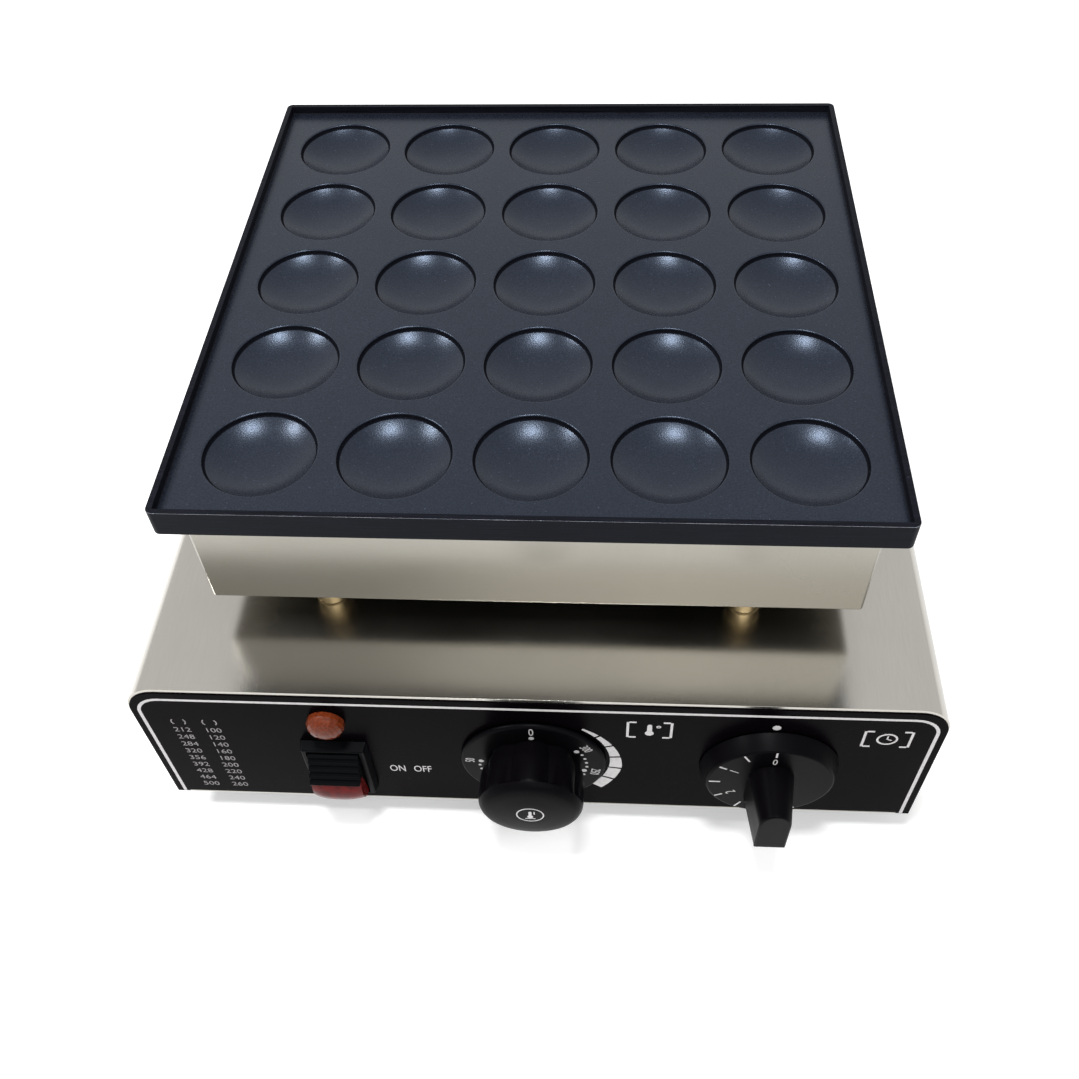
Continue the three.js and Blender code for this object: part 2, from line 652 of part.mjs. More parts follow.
// The floor of the base, with flanges at its sides and its back
function bottomPlate() {
  const width = BASE_INSIDE - 2 * SEAT_GAP;
  const depth = BASE_DEPTH + BEHIND_WALL;
  const tray = cut(block(width, depth, 0, FLANGE), [
    block(width - 2 * BASE_SHEET, depth + OVERRUN, BASE_SHEET, FLANGE + OVERRUN,
      0, -(BASE_SHEET + OVERRUN) / 2 - BASE_SHEET / 2),
  ]);
  const middle = -BEHIND_WALL / 2;
  return cut(tray, [
    ...FOOT_PLACES.map(([x, y]) => hole(SCREW_RADIUS + BORE_CLEARANCE, -OVERRUN, BASE_SHEET + OVERRUN,
      x, y - middle)),
    ...ventSlots(BOTTOM_SLOTS_X, -BOTTOM_SLOTS_Y, -OVERRUN, BASE_SHEET + OVERRUN),
    ...ventSlots(BOTTOM_SLOTS_X, BOTTOM_SLOTS_Y, -OVERRUN, BASE_SHEET + OVERRUN),
    ...ventSlots(-BOTTOM_SLOTS_X, -BOTTOM_SLOTS_Y, -OVERRUN, BASE_SHEET + OVERRUN),
  ]);
}

function foot() {
  const bore = SCREW_RADIUS + BORE_CLEARANCE;
  const top = FOOT_HEIGHT - SEAT_GAP;
  return turned([
    [FOOT_WELL_RADIUS, 0],
    [FOOT_TOE_RADIUS, 0],
    [FOOT_TOP_RADIUS, top],
    [bore, top],
    [bore, FOOT_WELL_DEPTH],
    [FOOT_WELL_RADIUS, FOOT_WELL_DEPTH],
    [FOOT_WELL_RADIUS, 0],
  ], MEDIUM_SIDES);
}

function footScrew() {
  const headTop = FOOT_WELL_DEPTH - SEAT_GAP;
  return turned([
    [0, headTop - SCREW_HEAD_HEIGHT],
    [SCREW_HEAD_RADIUS, headTop - SCREW_HEAD_HEIGHT / 2],
    [SCREW_HEAD_RADIUS, headTop],
    [SCREW_RADIUS, headTop],
    [SCREW_RADIUS, BASE_BOTTOM + BASE_SHEET + SCREW_TAIL],
    [0, BASE_BOTTOM + BASE_SHEET + SCREW_TAIL],
  ], SMALL_SIDES);
}

// A body behind the wall and a threaded bush through the wall, bored for its shaft
function dialBody(width, height, depth) {
  const front = BEHIND_WALL;
  return cut(join([
    prism(roundedRectangle(width, height, BODY_CORNER), front - depth, front),
    disc(BUSH_RADIUS, front - depth / 2, BUSH_REACH),
  ]), [hole(SHAFT_BORE, SHAFT_BACK - SEAT_GAP, BUSH_REACH + OVERRUN)]);
}

function bushNut() {
  return hexNut(BUSH_NUT_FLATS, SEAT_GAP, SEAT_GAP + BUSH_NUT_HEIGHT, BUSH_HOLE);
}

function dialShaft(reach) {
  return disc(SHAFT_RADIUS, SHAFT_BACK, reach - KNOB_CAP - SEAT_GAP);
}

// What is hollow in a knob: the well over the bush and its nut, and the bore for the shaft
function knobHollow(reach) {
  const wellTop = KNOB_LIFT + KNOB_WELL_DEPTH;
  return [
    disc(KNOB_WELL_RADIUS, KNOB_LIFT - OVERRUN, wellTop),
    hole(SHAFT_BORE, wellTop - OVERRUN, reach - KNOB_CAP),
  ];
}

function flutedOutline() {
  const count = FLUTES * FLUTE_STEPS;
  const points = [];
  for (let i = 0; i < count; i += 1) {
    const angle = 4 * QUARTER_TURN * i / count;
    const wave = (1 + Math.cos(FLUTES * (angle - QUARTER_TURN))) / 2;
    const radius = TEMPERATURE_GRIP_RADIUS - FLUTE_DEPTH * (1 - Math.sqrt(wave));
    points.push([radius * Math.cos(angle), radius * Math.sin(angle)]);
  }
  return polygon(points);
}

function temperatureKnob() {
  const reach = TEMPERATURE_KNOB_REACH;
  const envelope = turned([
    [0, KNOB_LIFT],
    [TEMPERATURE_GRIP_RADIUS + OVERRUN, KNOB_LIFT],
    [TEMPERATURE_GRIP_RADIUS, TEMPERATURE_SHOULDER],
    [(TEMPERATURE_GRIP_RADIUS + TEMPERATURE_GRIP_END) / 2, (TEMPERATURE_SHOULDER + reach) / 2],
    [TEMPERATURE_GRIP_END, reach - TEMPERATURE_DOME],
    [TEMPERATURE_GRIP_END / 2, reach - TEMPERATURE_DOME / 4],
    [0, reach],
  ]);
  const grip = common(prism(flutedOutline(), KNOB_LIFT, reach), envelope);
  const skirt = disc(TEMPERATURE_SKIRT_RADIUS, KNOB_LIFT, TEMPERATURE_SKIRT_TOP, 0, 0, 2 * ROUND_SIDES);
  return cut(join([skirt, grip]), knobHollow(reach));
}

function timerKnob() {
  const reach = TIMER_KNOB_REACH;
  const skirt = turned([
    [0, KNOB_LIFT],
    [TIMER_SKIRT_RADIUS, KNOB_LIFT],
    [TIMER_SKIRT_FACE, TIMER_SKIRT_TOP],
    [0, TIMER_SKIRT_TOP],
  ], 2 * ROUND_SIDES);
  const bar = polygon([
    [-TIMER_BAR_ROOT / 2, KNOB_LIFT + KNOB_WELL_DEPTH],
    [TIMER_BAR_ROOT / 2, KNOB_LIFT + KNOB_WELL_DEPTH],
    [TIMER_BAR_END / 2, reach],
    [-TIMER_BAR_END / 2, reach],
  ]);
  const taper = prism(bar, -TIMER_BAR_TOP, TIMER_BAR_DROP).rotateX(QUARTER_TURN);
  const plan = new THREE.Shape();
  plan.moveTo(-TIMER_BAR_ROOT / 2, -TIMER_BAR_DROP);
  plan.lineTo(TIMER_BAR_ROOT / 2, -TIMER_BAR_DROP);
  plan.absarc(0, TIMER_BAR_TOP - TIMER_BAR_ROOT / 2, TIMER_BAR_ROOT / 2, 0, 2 * QUARTER_TURN);
  const grip = common(taper, prism(plan, 0, reach));
  return cut(join([skirt, grip]), knobHollow(reach));
}

function lampBody() {
  const flangeTop = SEAT_GAP + LAMP_FLANGE;
  const end = SEAT_GAP - LAMP_NECK_LENGTH;
  return turned([
    [0, end],
    [LAMP_NECK_RADIUS, end],
    [LAMP_NECK_RADIUS, SEAT_GAP],
    [LAMP_RADIUS, SEAT_GAP],
    [LAMP_RADIUS, flangeTop],
    [LAMP_BORE, flangeTop],
    [LAMP_BORE, end + LAMP_NECK_WALL],
    [0, end + LAMP_NECK_WALL],
  ], LAMP_SIDES);
}

function lampLens() {
  const seat = SEAT_GAP + LAMP_FLANGE + SEAT_GAP;
  const height = LAMP_REACH - seat;
  const spigot = LAMP_BORE - BORE_CLEARANCE;
  const profile = [[0, seat - LENS_SPIGOT], [spigot, seat - LENS_SPIGOT], [spigot, seat]];
  for (let i = 0; i <= DOME_STEPS; i += 1) {
    const angle = QUARTER_TURN * i / DOME_STEPS;
    profile.push([LAMP_RADIUS * Math.cos(angle), seat + height * Math.sin(angle)]);
  }
  return turned(profile, LAMP_SIDES);
}

function lampNut() {
  return hexNut(LAMP_NUT_FLATS, BEHIND_WALL - LAMP_NUT_HEIGHT, BEHIND_WALL, LAMP_HOLE);
}

// Drawn about the rocker's pivot: y up, and out towards the viewer
function rockerOutline() {
  const radius = ROCKER_RADIUS;
  const shape = new THREE.Shape();
  const topAngle = Math.asin(ROCKER_TOP_LIP / radius);
  const skirtAngle = Math.asin(ROCKER_SKIRT / radius);
  const lensAngle = Math.asin((LENS_WALL + ROCKER_TOP_LIP) / radius);
  shape.absarc(0, 0, radius, -skirtAngle, topAngle);
  shape.lineTo(ROCKER_SPLIT, ROCKER_HUMP);
  shape.quadraticCurveTo(-ROCKER_HUMP / 2, LENS_PEAK + ROCKER_TOP_LIP,
    -radius * Math.cos(lensAngle), radius * Math.sin(lensAngle));
  shape.absarc(0, 0, radius, 2 * QUARTER_TURN - lensAngle, 2 * QUARTER_TURN + skirtAngle);
  return shape;
}

// The outline lies in the plane of y and z, and the rocker runs along x
function acrossRocker(shape, width) {
  return prism(shape, -width / 2, width / 2).rotateX(QUARTER_TURN).rotateZ(QUARTER_TURN);
}

// The room of the red lens, made smaller or larger by a margin
function lensRoom(margin) {
  return polygon([
    [ROCKER_SPLIT - margin, 2 * ROCKER_RADIUS],
    [ROCKER_SPLIT - margin, ROCKER_HUMP - LENS_WALL + margin],
    [-ROCKER_RADIUS / 2, LENS_WALL + margin],
    [-2 * ROCKER_RADIUS, ROCKER_SKIRT + margin],
    [-2 * ROCKER_RADIUS, 2 * ROCKER_RADIUS],
  ]);
}

function rockerCap() {
  const run = Math.sqrt(ROCKER_RADIUS ** 2 - ROCKER_TOP_LIP ** 2) - ROCKER_SPLIT;
  const rise = ROCKER_HUMP - ROCKER_TOP_LIP;
  const grooves = Array.from({ length: RIB_COUNT }, (_, i) => {
    const share = (i + 1) / (RIB_COUNT + 1);
    return block(ROCKER_WIDTH + 2 * OVERRUN, RIB_GROOVE, ROCKER_HUMP - rise * share - RIB_GROOVE,
      ROCKER_HUMP + OVERRUN, 0, ROCKER_SPLIT + run * share);
  });
  const pinLength = ROCKER_WIDTH + 2 * OVERRUN;
  const pinHole = new THREE.CylinderGeometry(PIN_RADIUS + BORE_CLEARANCE, PIN_RADIUS + BORE_CLEARANCE,
    pinLength, SMALL_SIDES).rotateZ(QUARTER_TURN);
  const core = block(ROCKER_WIDTH - 2 * (PIN_GRIP + BORE_CLEARANCE), 2 * ROCKER_SKIRT,
    -ROCKER_SKIRT, ROCKER_SKIRT);
  return cut(acrossRocker(rockerOutline(), ROCKER_WIDTH), [
    acrossRocker(lensRoom(0), ROCKER_WIDTH + 2 * OVERRUN),
    cut(pinHole, [core]),
    ...grooves,
  ]);
}

function rockerLens() {
  return common(acrossRocker(rockerOutline(), ROCKER_WIDTH),
    acrossRocker(lensRoom(LENS_GAP), ROCKER_WIDTH + 2 * OVERRUN));
}

// A drafted frame on the panel and a body behind it, with the window and two pins for the rocker
function switchHousing() {
  const housing = cut(join([
    draftedBlock(SWITCH_WIDTH, SWITCH_HEIGHT, SEAT_GAP, SWITCH_FRAME, SWITCH_DRAFT),
    block(SWITCH_BODY_WIDTH, SWITCH_BODY_HEIGHT, SWITCH_BACK, SWITCH_FRAME / 2),
  ]), [block(WINDOW_WIDTH, WINDOW_HEIGHT, -SWITCH_WINDOW_DEPTH, SWITCH_FRAME + OVERRUN)]);
  const pins = [-1, 1].map((side) => new THREE.CylinderGeometry(PIN_RADIUS, PIN_RADIUS,
    PIN_GRIP + 2 * RUNNING_CLEARANCE, SMALL_SIDES).rotateZ(QUARTER_TURN)
    .translate(side * (WINDOW_WIDTH - PIN_GRIP) / 2, 0, ROCKER_PIVOT));
  return join([housing, ...pins]);
}

// Wiring

function terminalBlock() {
  const ways = Array.from({ length: BLOCK_WAYS }, (_, i) => (
    disc(BLOCK_WAY_RADIUS, BLOCK_HEIGHT - BLOCK_WAY_DEPTH, BLOCK_HEIGHT + OVERRUN,
      (i - (BLOCK_WAYS - 1) / 2) * BLOCK_WAY_PITCH, 0)
  ));
  return cut(block(BLOCK_LENGTH, BLOCK_WIDTH, 0, BLOCK_HEIGHT), ways);
}

const HEAD_RUN = HEAD_FLOOR + HEAD_LEAD_LEVEL;
const BASE_RUN = BASE_TOP - BASE_LEAD_LEVEL;
const THERMOSTAT_BACK = -BASE_DEPTH / 2 - BEHIND_WALL + THERMOSTAT_DEPTH + SEAT_GAP;
const SWITCH_REAR = -BASE_DEPTH / 2 - SWITCH_BACK + SEAT_GAP;
const CONTROL_Z = BASE_BOTTOM + DIAL_Y;
const SWITCH_Z = BASE_BOTTOM + SWITCH_Y;
const COLD_END = BLANKET_BOTTOM - ELEMENT_RADIUS - SEAT_GAP;
const BLOCK_LEAD_END = BLOCK_BOTTOM + BLOCK_HEIGHT - BLOCK_WAY_DEPTH + SEAT_GAP;

// From the front cold end of the element down to the thermostat
function thermostatLead() {
  return tube(bentRoute([
    [TERMINAL_X, -TERMINAL_Y, COLD_END],
    [TERMINAL_X, -TERMINAL_Y, HEAD_RUN],
    [LEAD_SPREAD, -LEAD_SPREAD / 2, HEAD_RUN],
    [LEAD_SPREAD, -LEAD_SPREAD / 2, BASE_RUN],
    [THERMOSTAT_WIDTH / 4, THERMOSTAT_BACK + 2 * LEAD_BEND, CONTROL_Z],
    [THERMOSTAT_WIDTH / 4, THERMOSTAT_BACK, CONTROL_Z],
  ], LEAD_BEND), LEAD_RADIUS);
}

// From the rear cold end of the element down to the terminal block
function neutralLead() {
  return tube(bentRoute([
    [TERMINAL_X, TERMINAL_Y, COLD_END],
    [TERMINAL_X, TERMINAL_Y, HEAD_RUN],
    [-LEAD_SPREAD, LEAD_SPREAD / 2, HEAD_RUN],
    [-LEAD_SPREAD, LEAD_SPREAD / 2, BASE_RUN],
    [BLOCK_X + BLOCK_WAY_PITCH, BLOCK_Y, BASE_RUN],
    [BLOCK_X + BLOCK_WAY_PITCH, BLOCK_Y, BLOCK_LEAD_END],
  ], LEAD_BEND), LEAD_RADIUS);
}

// From the terminal block to the back of the switch
function supplyLead() {
  const start = BLOCK_X - BLOCK_WAY_PITCH;
  const end = SWITCH_X - SWITCH_BODY_WIDTH / 4;
  return tube(bentRoute([
    [start, BLOCK_Y, BLOCK_LEAD_END],
    [start, BLOCK_Y, BASE_RUN - LEAD_BEND],
    [start, SWITCH_REAR + 4 * LEAD_BEND, SWITCH_Z],
    [end, SWITCH_REAR + 2 * LEAD_BEND, SWITCH_Z],
    [end, SWITCH_REAR, SWITCH_Z],
  ], LEAD_BEND), LEAD_RADIUS);
}

// From the thermostat bulb through the conduit to the thermostat body
function capillaryTube() {
  return tube(bentRoute([
    [BULB_END + SEAT_GAP, 0, BULB_LEVEL],
    [CAPILLARY_DROP, 0, BULB_LEVEL],
    [CAPILLARY_DROP, 0, HEAD_RUN],
    [0, LEAD_SPREAD, HEAD_RUN],
    [0, LEAD_SPREAD, BASE_RUN + LEAD_BEND],
    [-THERMOSTAT_WIDTH / 4, THERMOSTAT_BACK + 2 * LEAD_BEND, CONTROL_Z],
    [-THERMOSTAT_WIDTH / 4, THERMOSTAT_BACK, CONTROL_Z],
  ], LEAD_BEND), CAPILLARY_RADIUS);
}

// Drawn from the rear panel outwards
function cordGland() {
  const hex = hexPrism(GLAND_FLATS, SEAT_GAP, SEAT_GAP + GLAND_HEX_LENGTH);
  const nose = turned([
    [0, SEAT_GAP],
    [GLAND_CAP_RADIUS, SEAT_GAP],
    [GLAND_CAP_RADIUS, GLAND_REACH - GLAND_HEX_LENGTH],
    [GLAND_MOUTH_RADIUS, GLAND_REACH],
    [0, GLAND_REACH],
  ], MEDIUM_SIDES);
  return cut(join([hex, nose, disc(GLAND_THREAD_RADIUS, -GLAND_THREAD_LENGTH, SEAT_GAP + OVERRUN)]),
    [hole(GLAND_BORE, -GLAND_THREAD_LENGTH - OVERRUN, GLAND_REACH + OVERRUN)]);
}

function glandNut() {
  const top = -BASE_SHEET - SEAT_GAP;
  return hexNut(GLAND_FLATS, top - GLAND_NUT_HEIGHT, top, GLAND_HOLE);
}

// Finishes

const finish = (color, roughness, metalness) => (
  () => new THREE.MeshStandardMaterial({ color, roughness, metalness })
);
const nonStick = finish(0x3a3c46, 0.45, 0.2);
const brushedSteel = finish(0xb0aca4, 0.35, 0.9);
const zincSteel = finish(0xa9adb0, 0.4, 0.9);
const brass = finish(0xc19a4e, 0.35, 0.9);
const aluminium = finish(0xb9bcc0, 0.45, 0.8);
const blackPanel = finish(0x1c181c, 0.3, 0);
const blackPlastic = finish(0x151517, 0.4, 0);
const palePlastic = finish(0xd8d2c2, 0.6, 0);
const rubber = finish(0x1e1e1e, 0.85, 0);
const elementSheath = finish(0x5b5550, 0.5, 0.7);
const ceramicFibre = finish(0xe6e2d6, 0.95, 0);
const copper = finish(0xb4693c, 0.4, 0.9);
const redLens = finish(0xc8372c, 0.2, 0);
const orangeLens = finish(0xd8632f, 0.2, 0);
const redWire = finish(0xa32620, 0.6, 0);
const blueWire = finish(0x2c4a9a, 0.6, 0);

function add(group, name, geometry, material, x = 0, y = 0, z = 0) {
  const mesh = new THREE.Mesh(geometry, material());
  mesh.name = name;
  mesh.position.set(x, y, z);
  group.add(mesh);
}

// Assembly

const machine = new THREE.Group();
machine.position.y = (FRONT_REACH - GLAND_REACH) / 2;

add(machine, 'baking_plate', bakingPlate(), nonStick, 0, 0, HEAD_TOP);
add(machine, 'heating_element', heatingElement(), elementSheath, 0, 0, ELEMENT_LEVEL);
add(machine, 'element_clamp_plate', clampPlate(), aluminium, 0, 0, CLAMP_BOTTOM);
add(machine, 'insulation_blanket', insulationBlanket(), ceramicFibre, 0, 0, BLANKET_BOTTOM);
add(machine, 'head_housing', headHousing(), brushedSteel, 0, 0, HEAD_BOTTOM);
add(machine, 'thermostat_bulb', thermostatBulb(), copper, BULB_SHIFT, 0, BULB_LEVEL);
add(machine, 'wiring_conduit', wiringConduit(), zincSteel, 0, 0, BASE_TOP);
add(machine, 'conduit_nut', hexNut(CONDUIT_NUT_FLATS, -CONDUIT_NUT_HEIGHT, 0, CONDUIT_HOLE), zincSteel,
  0, 0, BASE_NUT_TOP);

STUD_PLACES.forEach(([x, y], i) => {
  const nut = hexNut(NUT_FLATS, -NUT_HEIGHT, 0, STUD_HOLE);
  add(machine, `head_stud_${i + 1}`, stud(), zincSteel, x, y, STUD_BOTTOM);
  add(machine, `clamp_nut_${i + 1}`, nut, zincSteel, x, y, CLAMP_BOTTOM - SEAT_GAP);
  add(machine, `brass_spacer_${i + 1}`, brassSpacer(), brass, x, y, BASE_TOP + SEAT_GAP);
  add(machine, `base_nut_${i + 1}`, nut, zincSteel, x, y, BASE_NUT_TOP);
});

FOOT_PLACES.forEach(([x, y], i) => {
  add(machine, `foot_${i + 1}`, foot(), rubber, x, y, 0);
  add(machine, `foot_screw_${i + 1}`, footScrew(), zincSteel, x, y, 0);
});

add(machine, 'bottom_plate', bottomPlate(), zincSteel, 0, -BEHIND_WALL / 2, BASE_BOTTOM);
add(machine, 'terminal_block', terminalBlock(), palePlastic, BLOCK_X, BLOCK_Y, BLOCK_BOTTOM);
add(machine, 'thermostat_lead', thermostatLead(), redWire);
add(machine, 'neutral_lead', neutralLead(), blueWire);
add(machine, 'supply_lead', supplyLead(), redWire);
add(machine, 'capillary_tube', capillaryTube(), copper);

// Everything on the front wall, seen upright from the front: x to the right, y up, z out
const front = new THREE.Group();
front.position.set(0, -BASE_DEPTH / 2, BASE_BOTTOM);
front.rotation.x = QUARTER_TURN;
machine.add(front);

add(front, 'base_shell', baseShell(), brushedSteel);
add(front, 'control_panel', controlPanel(), blackPanel);
add(front, 'rear_panel', rearPanel(), zincSteel, 0, 0, -BASE_DEPTH);
add(front, 'thermostat_body', dialBody(THERMOSTAT_WIDTH, THERMOSTAT_HEIGHT, THERMOSTAT_DEPTH),
  palePlastic, 0, DIAL_Y);
add(front, 'thermostat_nut', bushNut(), zincSteel, 0, DIAL_Y);
add(front, 'thermostat_shaft', dialShaft(TEMPERATURE_KNOB_REACH), zincSteel, 0, DIAL_Y);
add(front, 'temperature_knob', temperatureKnob(), blackPlastic, 0, DIAL_Y);
add(front, 'timer_body', dialBody(TIMER_WIDTH, TIMER_HEIGHT, TIMER_DEPTH), palePlastic, TIMER_X, DIAL_Y);
add(front, 'timer_nut', bushNut(), zincSteel, TIMER_X, DIAL_Y);
add(front, 'timer_shaft', dialShaft(TIMER_KNOB_REACH), zincSteel, TIMER_X, DIAL_Y);
add(front, 'timer_knob', timerKnob(), blackPlastic, TIMER_X, DIAL_Y);
add(front, 'lamp_body', lampBody(), blackPlastic, LAMP_X, LAMP_Y);
add(front, 'lamp_lens', lampLens(), orangeLens, LAMP_X, LAMP_Y);
add(front, 'lamp_nut', lampNut(), zincSteel, LAMP_X, LAMP_Y);
add(front, 'switch_housing', switchHousing(), blackPlastic, SWITCH_X, SWITCH_Y);
add(front, 'rocker_cap', rockerCap(), blackPlastic, SWITCH_X, SWITCH_Y, ROCKER_PIVOT);
add(front, 'rocker_lens', rockerLens(), redLens, SWITCH_X, SWITCH_Y, ROCKER_PIVOT);

// The gland and its nut face the back
const rear = new THREE.Group();
rear.position.set(GLAND_X, BASE_DEPTH / 2, BASE_BOTTOM + GLAND_Z);
rear.rotation.x = -QUARTER_TURN;
machine.add(rear);

add(rear, 'cord_gland', cordGland(), blackPlastic);
add(rear, 'gland_nut', glandNut(), blackPlastic);

export default machine;
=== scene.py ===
"""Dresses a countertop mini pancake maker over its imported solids.

Lengths are in metres. +Z is up and the controls face -Y.
"""

import logging
import math
from collections.abc import Callable, Iterator, Sequence
from contextlib import contextmanager
from dataclasses import dataclass
from enum import Enum
from functools import cache

import bmesh
import bpy
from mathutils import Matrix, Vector


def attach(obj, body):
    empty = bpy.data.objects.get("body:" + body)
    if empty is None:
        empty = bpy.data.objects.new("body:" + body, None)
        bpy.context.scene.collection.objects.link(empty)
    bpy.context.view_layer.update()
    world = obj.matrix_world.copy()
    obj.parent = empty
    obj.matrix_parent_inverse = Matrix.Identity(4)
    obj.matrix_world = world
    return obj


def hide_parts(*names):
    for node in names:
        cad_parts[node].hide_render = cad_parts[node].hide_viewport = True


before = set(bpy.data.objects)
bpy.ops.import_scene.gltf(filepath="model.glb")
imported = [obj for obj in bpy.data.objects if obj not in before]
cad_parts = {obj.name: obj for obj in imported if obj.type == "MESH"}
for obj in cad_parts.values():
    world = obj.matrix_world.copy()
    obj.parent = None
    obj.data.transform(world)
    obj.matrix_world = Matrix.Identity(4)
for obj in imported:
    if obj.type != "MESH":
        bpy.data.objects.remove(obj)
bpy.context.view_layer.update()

LOG = logging.getLogger("pancake_maker")
NEAR = 1e-5
QUARTER = math.pi / 2
MIDDLE_Y = 0.00675
PANEL_Y = -0.16925
BASE_BOTTOM = 0.015
BASE_TOP = 0.107
BASE_BACK = 0.18275
DIAL_Z = 0.057964
TIMER_X = 0.1042
SWITCH_X = -0.0891
SWITCH_Z = 0.048212
LAMP_Z = 0.086024
GLAND_X = -0.1225
GLAND_Z = 0.057

Piece = bpy.types.Object
Item = bmesh.types.BMVert | bmesh.types.BMEdge | bmesh.types.BMFace
Test = Callable[[Item], bool]
Point = tuple[float, float, float]
Flat = tuple[float, float]
Colour = tuple[int, int, int]


class Kind(Enum):
    """What is picked in edit mode."""

    VERTEX = "VERT"
    EDGE = "EDGE"
    FACE = "FACE"


class Facing(Enum):
    """How a piece that was modelled lying on its back is stood up."""

    UP = (0.0, 0.0, 0.0)
    FRONT = (QUARTER, 0.0, 0.0)
    BACK = (-QUARTER, 0.0, 0.0)
    ACROSS = (QUARTER, 0.0, QUARTER)


class Grain(Enum):
    """Direction of fine lines in a finish, as the axis that they run along."""

    X = (0.03, 1.0, 1.0)
    Y = (1.0, 0.03, 1.0)
    Z = (1.0, 1.0, 0.03)
    NONE = (1.0, 1.0, 1.0)


def middle(item: Item) -> Vector:
    """Gives the middle of a vertex, an edge or a face.

    Args:
        item: The element of a mesh in edit mode.

    Returns:
        Its middle, in the piece's own coordinates.
    """
    if isinstance(item, bmesh.types.BMVert):
        return item.co.copy()
    return sum((corner.co for corner in item.verts), Vector()) / len(item.verts)


def runs_along(edge: bmesh.types.BMEdge, axis: int) -> bool:
    """Tells whether an edge runs along one of the axes 0, 1 and 2."""
    step = edge.verts[1].co - edge.verts[0].co
    return abs(step[axis]) > 0.999 * step.length


def level(item: Item, height: float, axis: int = 2) -> bool:
    """Tells whether all corners of an edge or a face lie at one height."""
    return all(abs(corner.co[axis] - height) < NEAR for corner in item.verts)


def arc(centre: Flat, radius: float, start: float, end: float, steps: int) -> list[Flat]:
    """Gives points on an arc.

    Args:
        centre: Middle of the arc.
        radius: Its radius.
        start: First angle in degrees, counted from the first axis.
        end: Last angle in degrees.
        steps: Number of chords.

    Returns:
        The points, both ends included.
    """
    angles = [math.radians(start + (end - start) * i / steps) for i in range(steps + 1)]
    return [(centre[0] + radius * math.cos(a), centre[1] + radius * math.sin(a)) for a in angles]


def clockwise(radius: float, degrees: float) -> Flat:
    """Gives the point at a clockwise angle from the top of a dial."""
    angle = math.radians(90 - degrees)
    return radius * math.cos(angle), radius * math.sin(angle)


def take(*pieces: Piece) -> None:
    """Selects these pieces alone, with the first one active.

    Args:
        pieces: The pieces to select.
    """
    if bpy.context.object is not None and bpy.context.object.mode != "OBJECT":
        bpy.ops.object.mode_set(mode="OBJECT")
    bpy.ops.object.select_all(action="DESELECT")
    for piece in pieces:
        piece.select_set(True)
    bpy.context.view_layer.objects.active = pieces[0]


@contextmanager
def shaping(piece: Piece, action: str = "DESELECT") -> Iterator[None]:
    """Opens a piece in edit mode with none or all of it selected.

    Args:
        piece: The piece to open.
        action: What is done to its selection first.

    Returns:
        Nothing; the piece is in edit mode inside the with block.
    """
    take(piece)
    bpy.ops.object.mode_set(mode="EDIT")
    bpy.ops.mesh.select_mode(type="VERT")
    bpy.ops.mesh.select_all(action=action)
    yield
    bpy.ops.object.mode_set(mode="OBJECT")


def pull(*step: float) -> None:
    """Extrudes the selection by a step."""
    bpy.ops.mesh.extrude_region_move(TRANSFORM_OT_translate={"value": step})


def stretch(across: float, along: float, centre: Point) -> None:
    """Scales the selection across X and along Y about a centre."""
    bpy.ops.transform.resize(value=(across, along, 1), center_override=centre)


def freeze(piece: Piece) -> Piece:
    """Applies a piece's place, turn and size to its mesh.

    Args:
        piece: The piece.

    Returns:
        The same piece, with its object at the origin.
    """
    take(piece)
    bpy.ops.object.transform_apply(location=True, rotation=True, scale=True)
    return piece


def pick(piece: Piece, kind: Kind, test: Test) -> int:
    """Selects the elements of a piece in edit mode that pass a test.

    Args:
        piece: The piece that is open in edit mode.
        kind: Which elements are tested.
        test: Tells whether an element is wanted.

    Returns:
        The number of elements selected.
    """
    bpy.ops.mesh.select_mode(type=kind.value)
    bpy.ops.mesh.select_all(action="DESELECT")
    mesh = bmesh.from_edit_mesh(piece.data)
    items = {Kind.VERTEX: mesh.verts, Kind.EDGE: mesh.edges, Kind.FACE: mesh.faces}[kind]
    found = [item for item in items if test(item)]
    for item in found:
        item.select_set(True)
    bmesh.update_edit_mesh(piece.data)
    return len(found)


def named(piece: Piece, name: str) -> Piece:
    """Names a piece and its mesh.

    Args:
        piece: The piece.
        name: Its new name.

    Returns:
        The same piece.
    """
    piece.name = name
    piece.data.name = name
    return piece


def block(name: str, low: Point, high: Point) -> Piece:
    """Adds a block by its lowest and its highest corner.

    Args:
        name: Name of the piece.
        low: Its lowest corner.
        high: Its highest corner.

    Returns:
        The block, with its place in its mesh.
    """
    centre = [(a + b) / 2 for a, b in zip(low, high)]
    bpy.ops.mesh.primitive_cube_add(size=1, location=centre)
    piece = bpy.context.object
    piece.scale = [b - a for a, b in zip(low, high)]
    return named(freeze(piece), name)


def turned(name: str, profile: Sequence[Flat], sides: int = 64, ring: bool = False) -> Piece:
    """Turns a solid about Z by drawing a circle through a profile.

    Args:
        name: Name of the piece.
        profile: Radius and height of each step, from the bottom up.
        sides: Number of sides.
        ring: Whether the profile closes on itself and leaves a bore.

    Returns:
        The closed solid.
    """
    radius, height = profile[0]
    fill = "NOTHING" if ring else "NGON"
    bpy.ops.mesh.primitive_circle_add(vertices=sides, radius=radius, fill_type=fill,
                                      location=(0, 0, 0))
    piece = named(bpy.context.object, name)
    with shaping(piece, "SELECT"):
        bpy.ops.transform.translate(value=(0, 0, height))
        for new_radius, new_height in [*profile[1:], profile[0]] if ring else profile[1:]:
            pull(0, 0, new_height - height)
            share = max(new_radius, NEAR) / radius
            if share != 1:
                stretch(share, share, (0, 0, new_height))
            radius, height = max(new_radius, NEAR), new_height
    return close(piece)


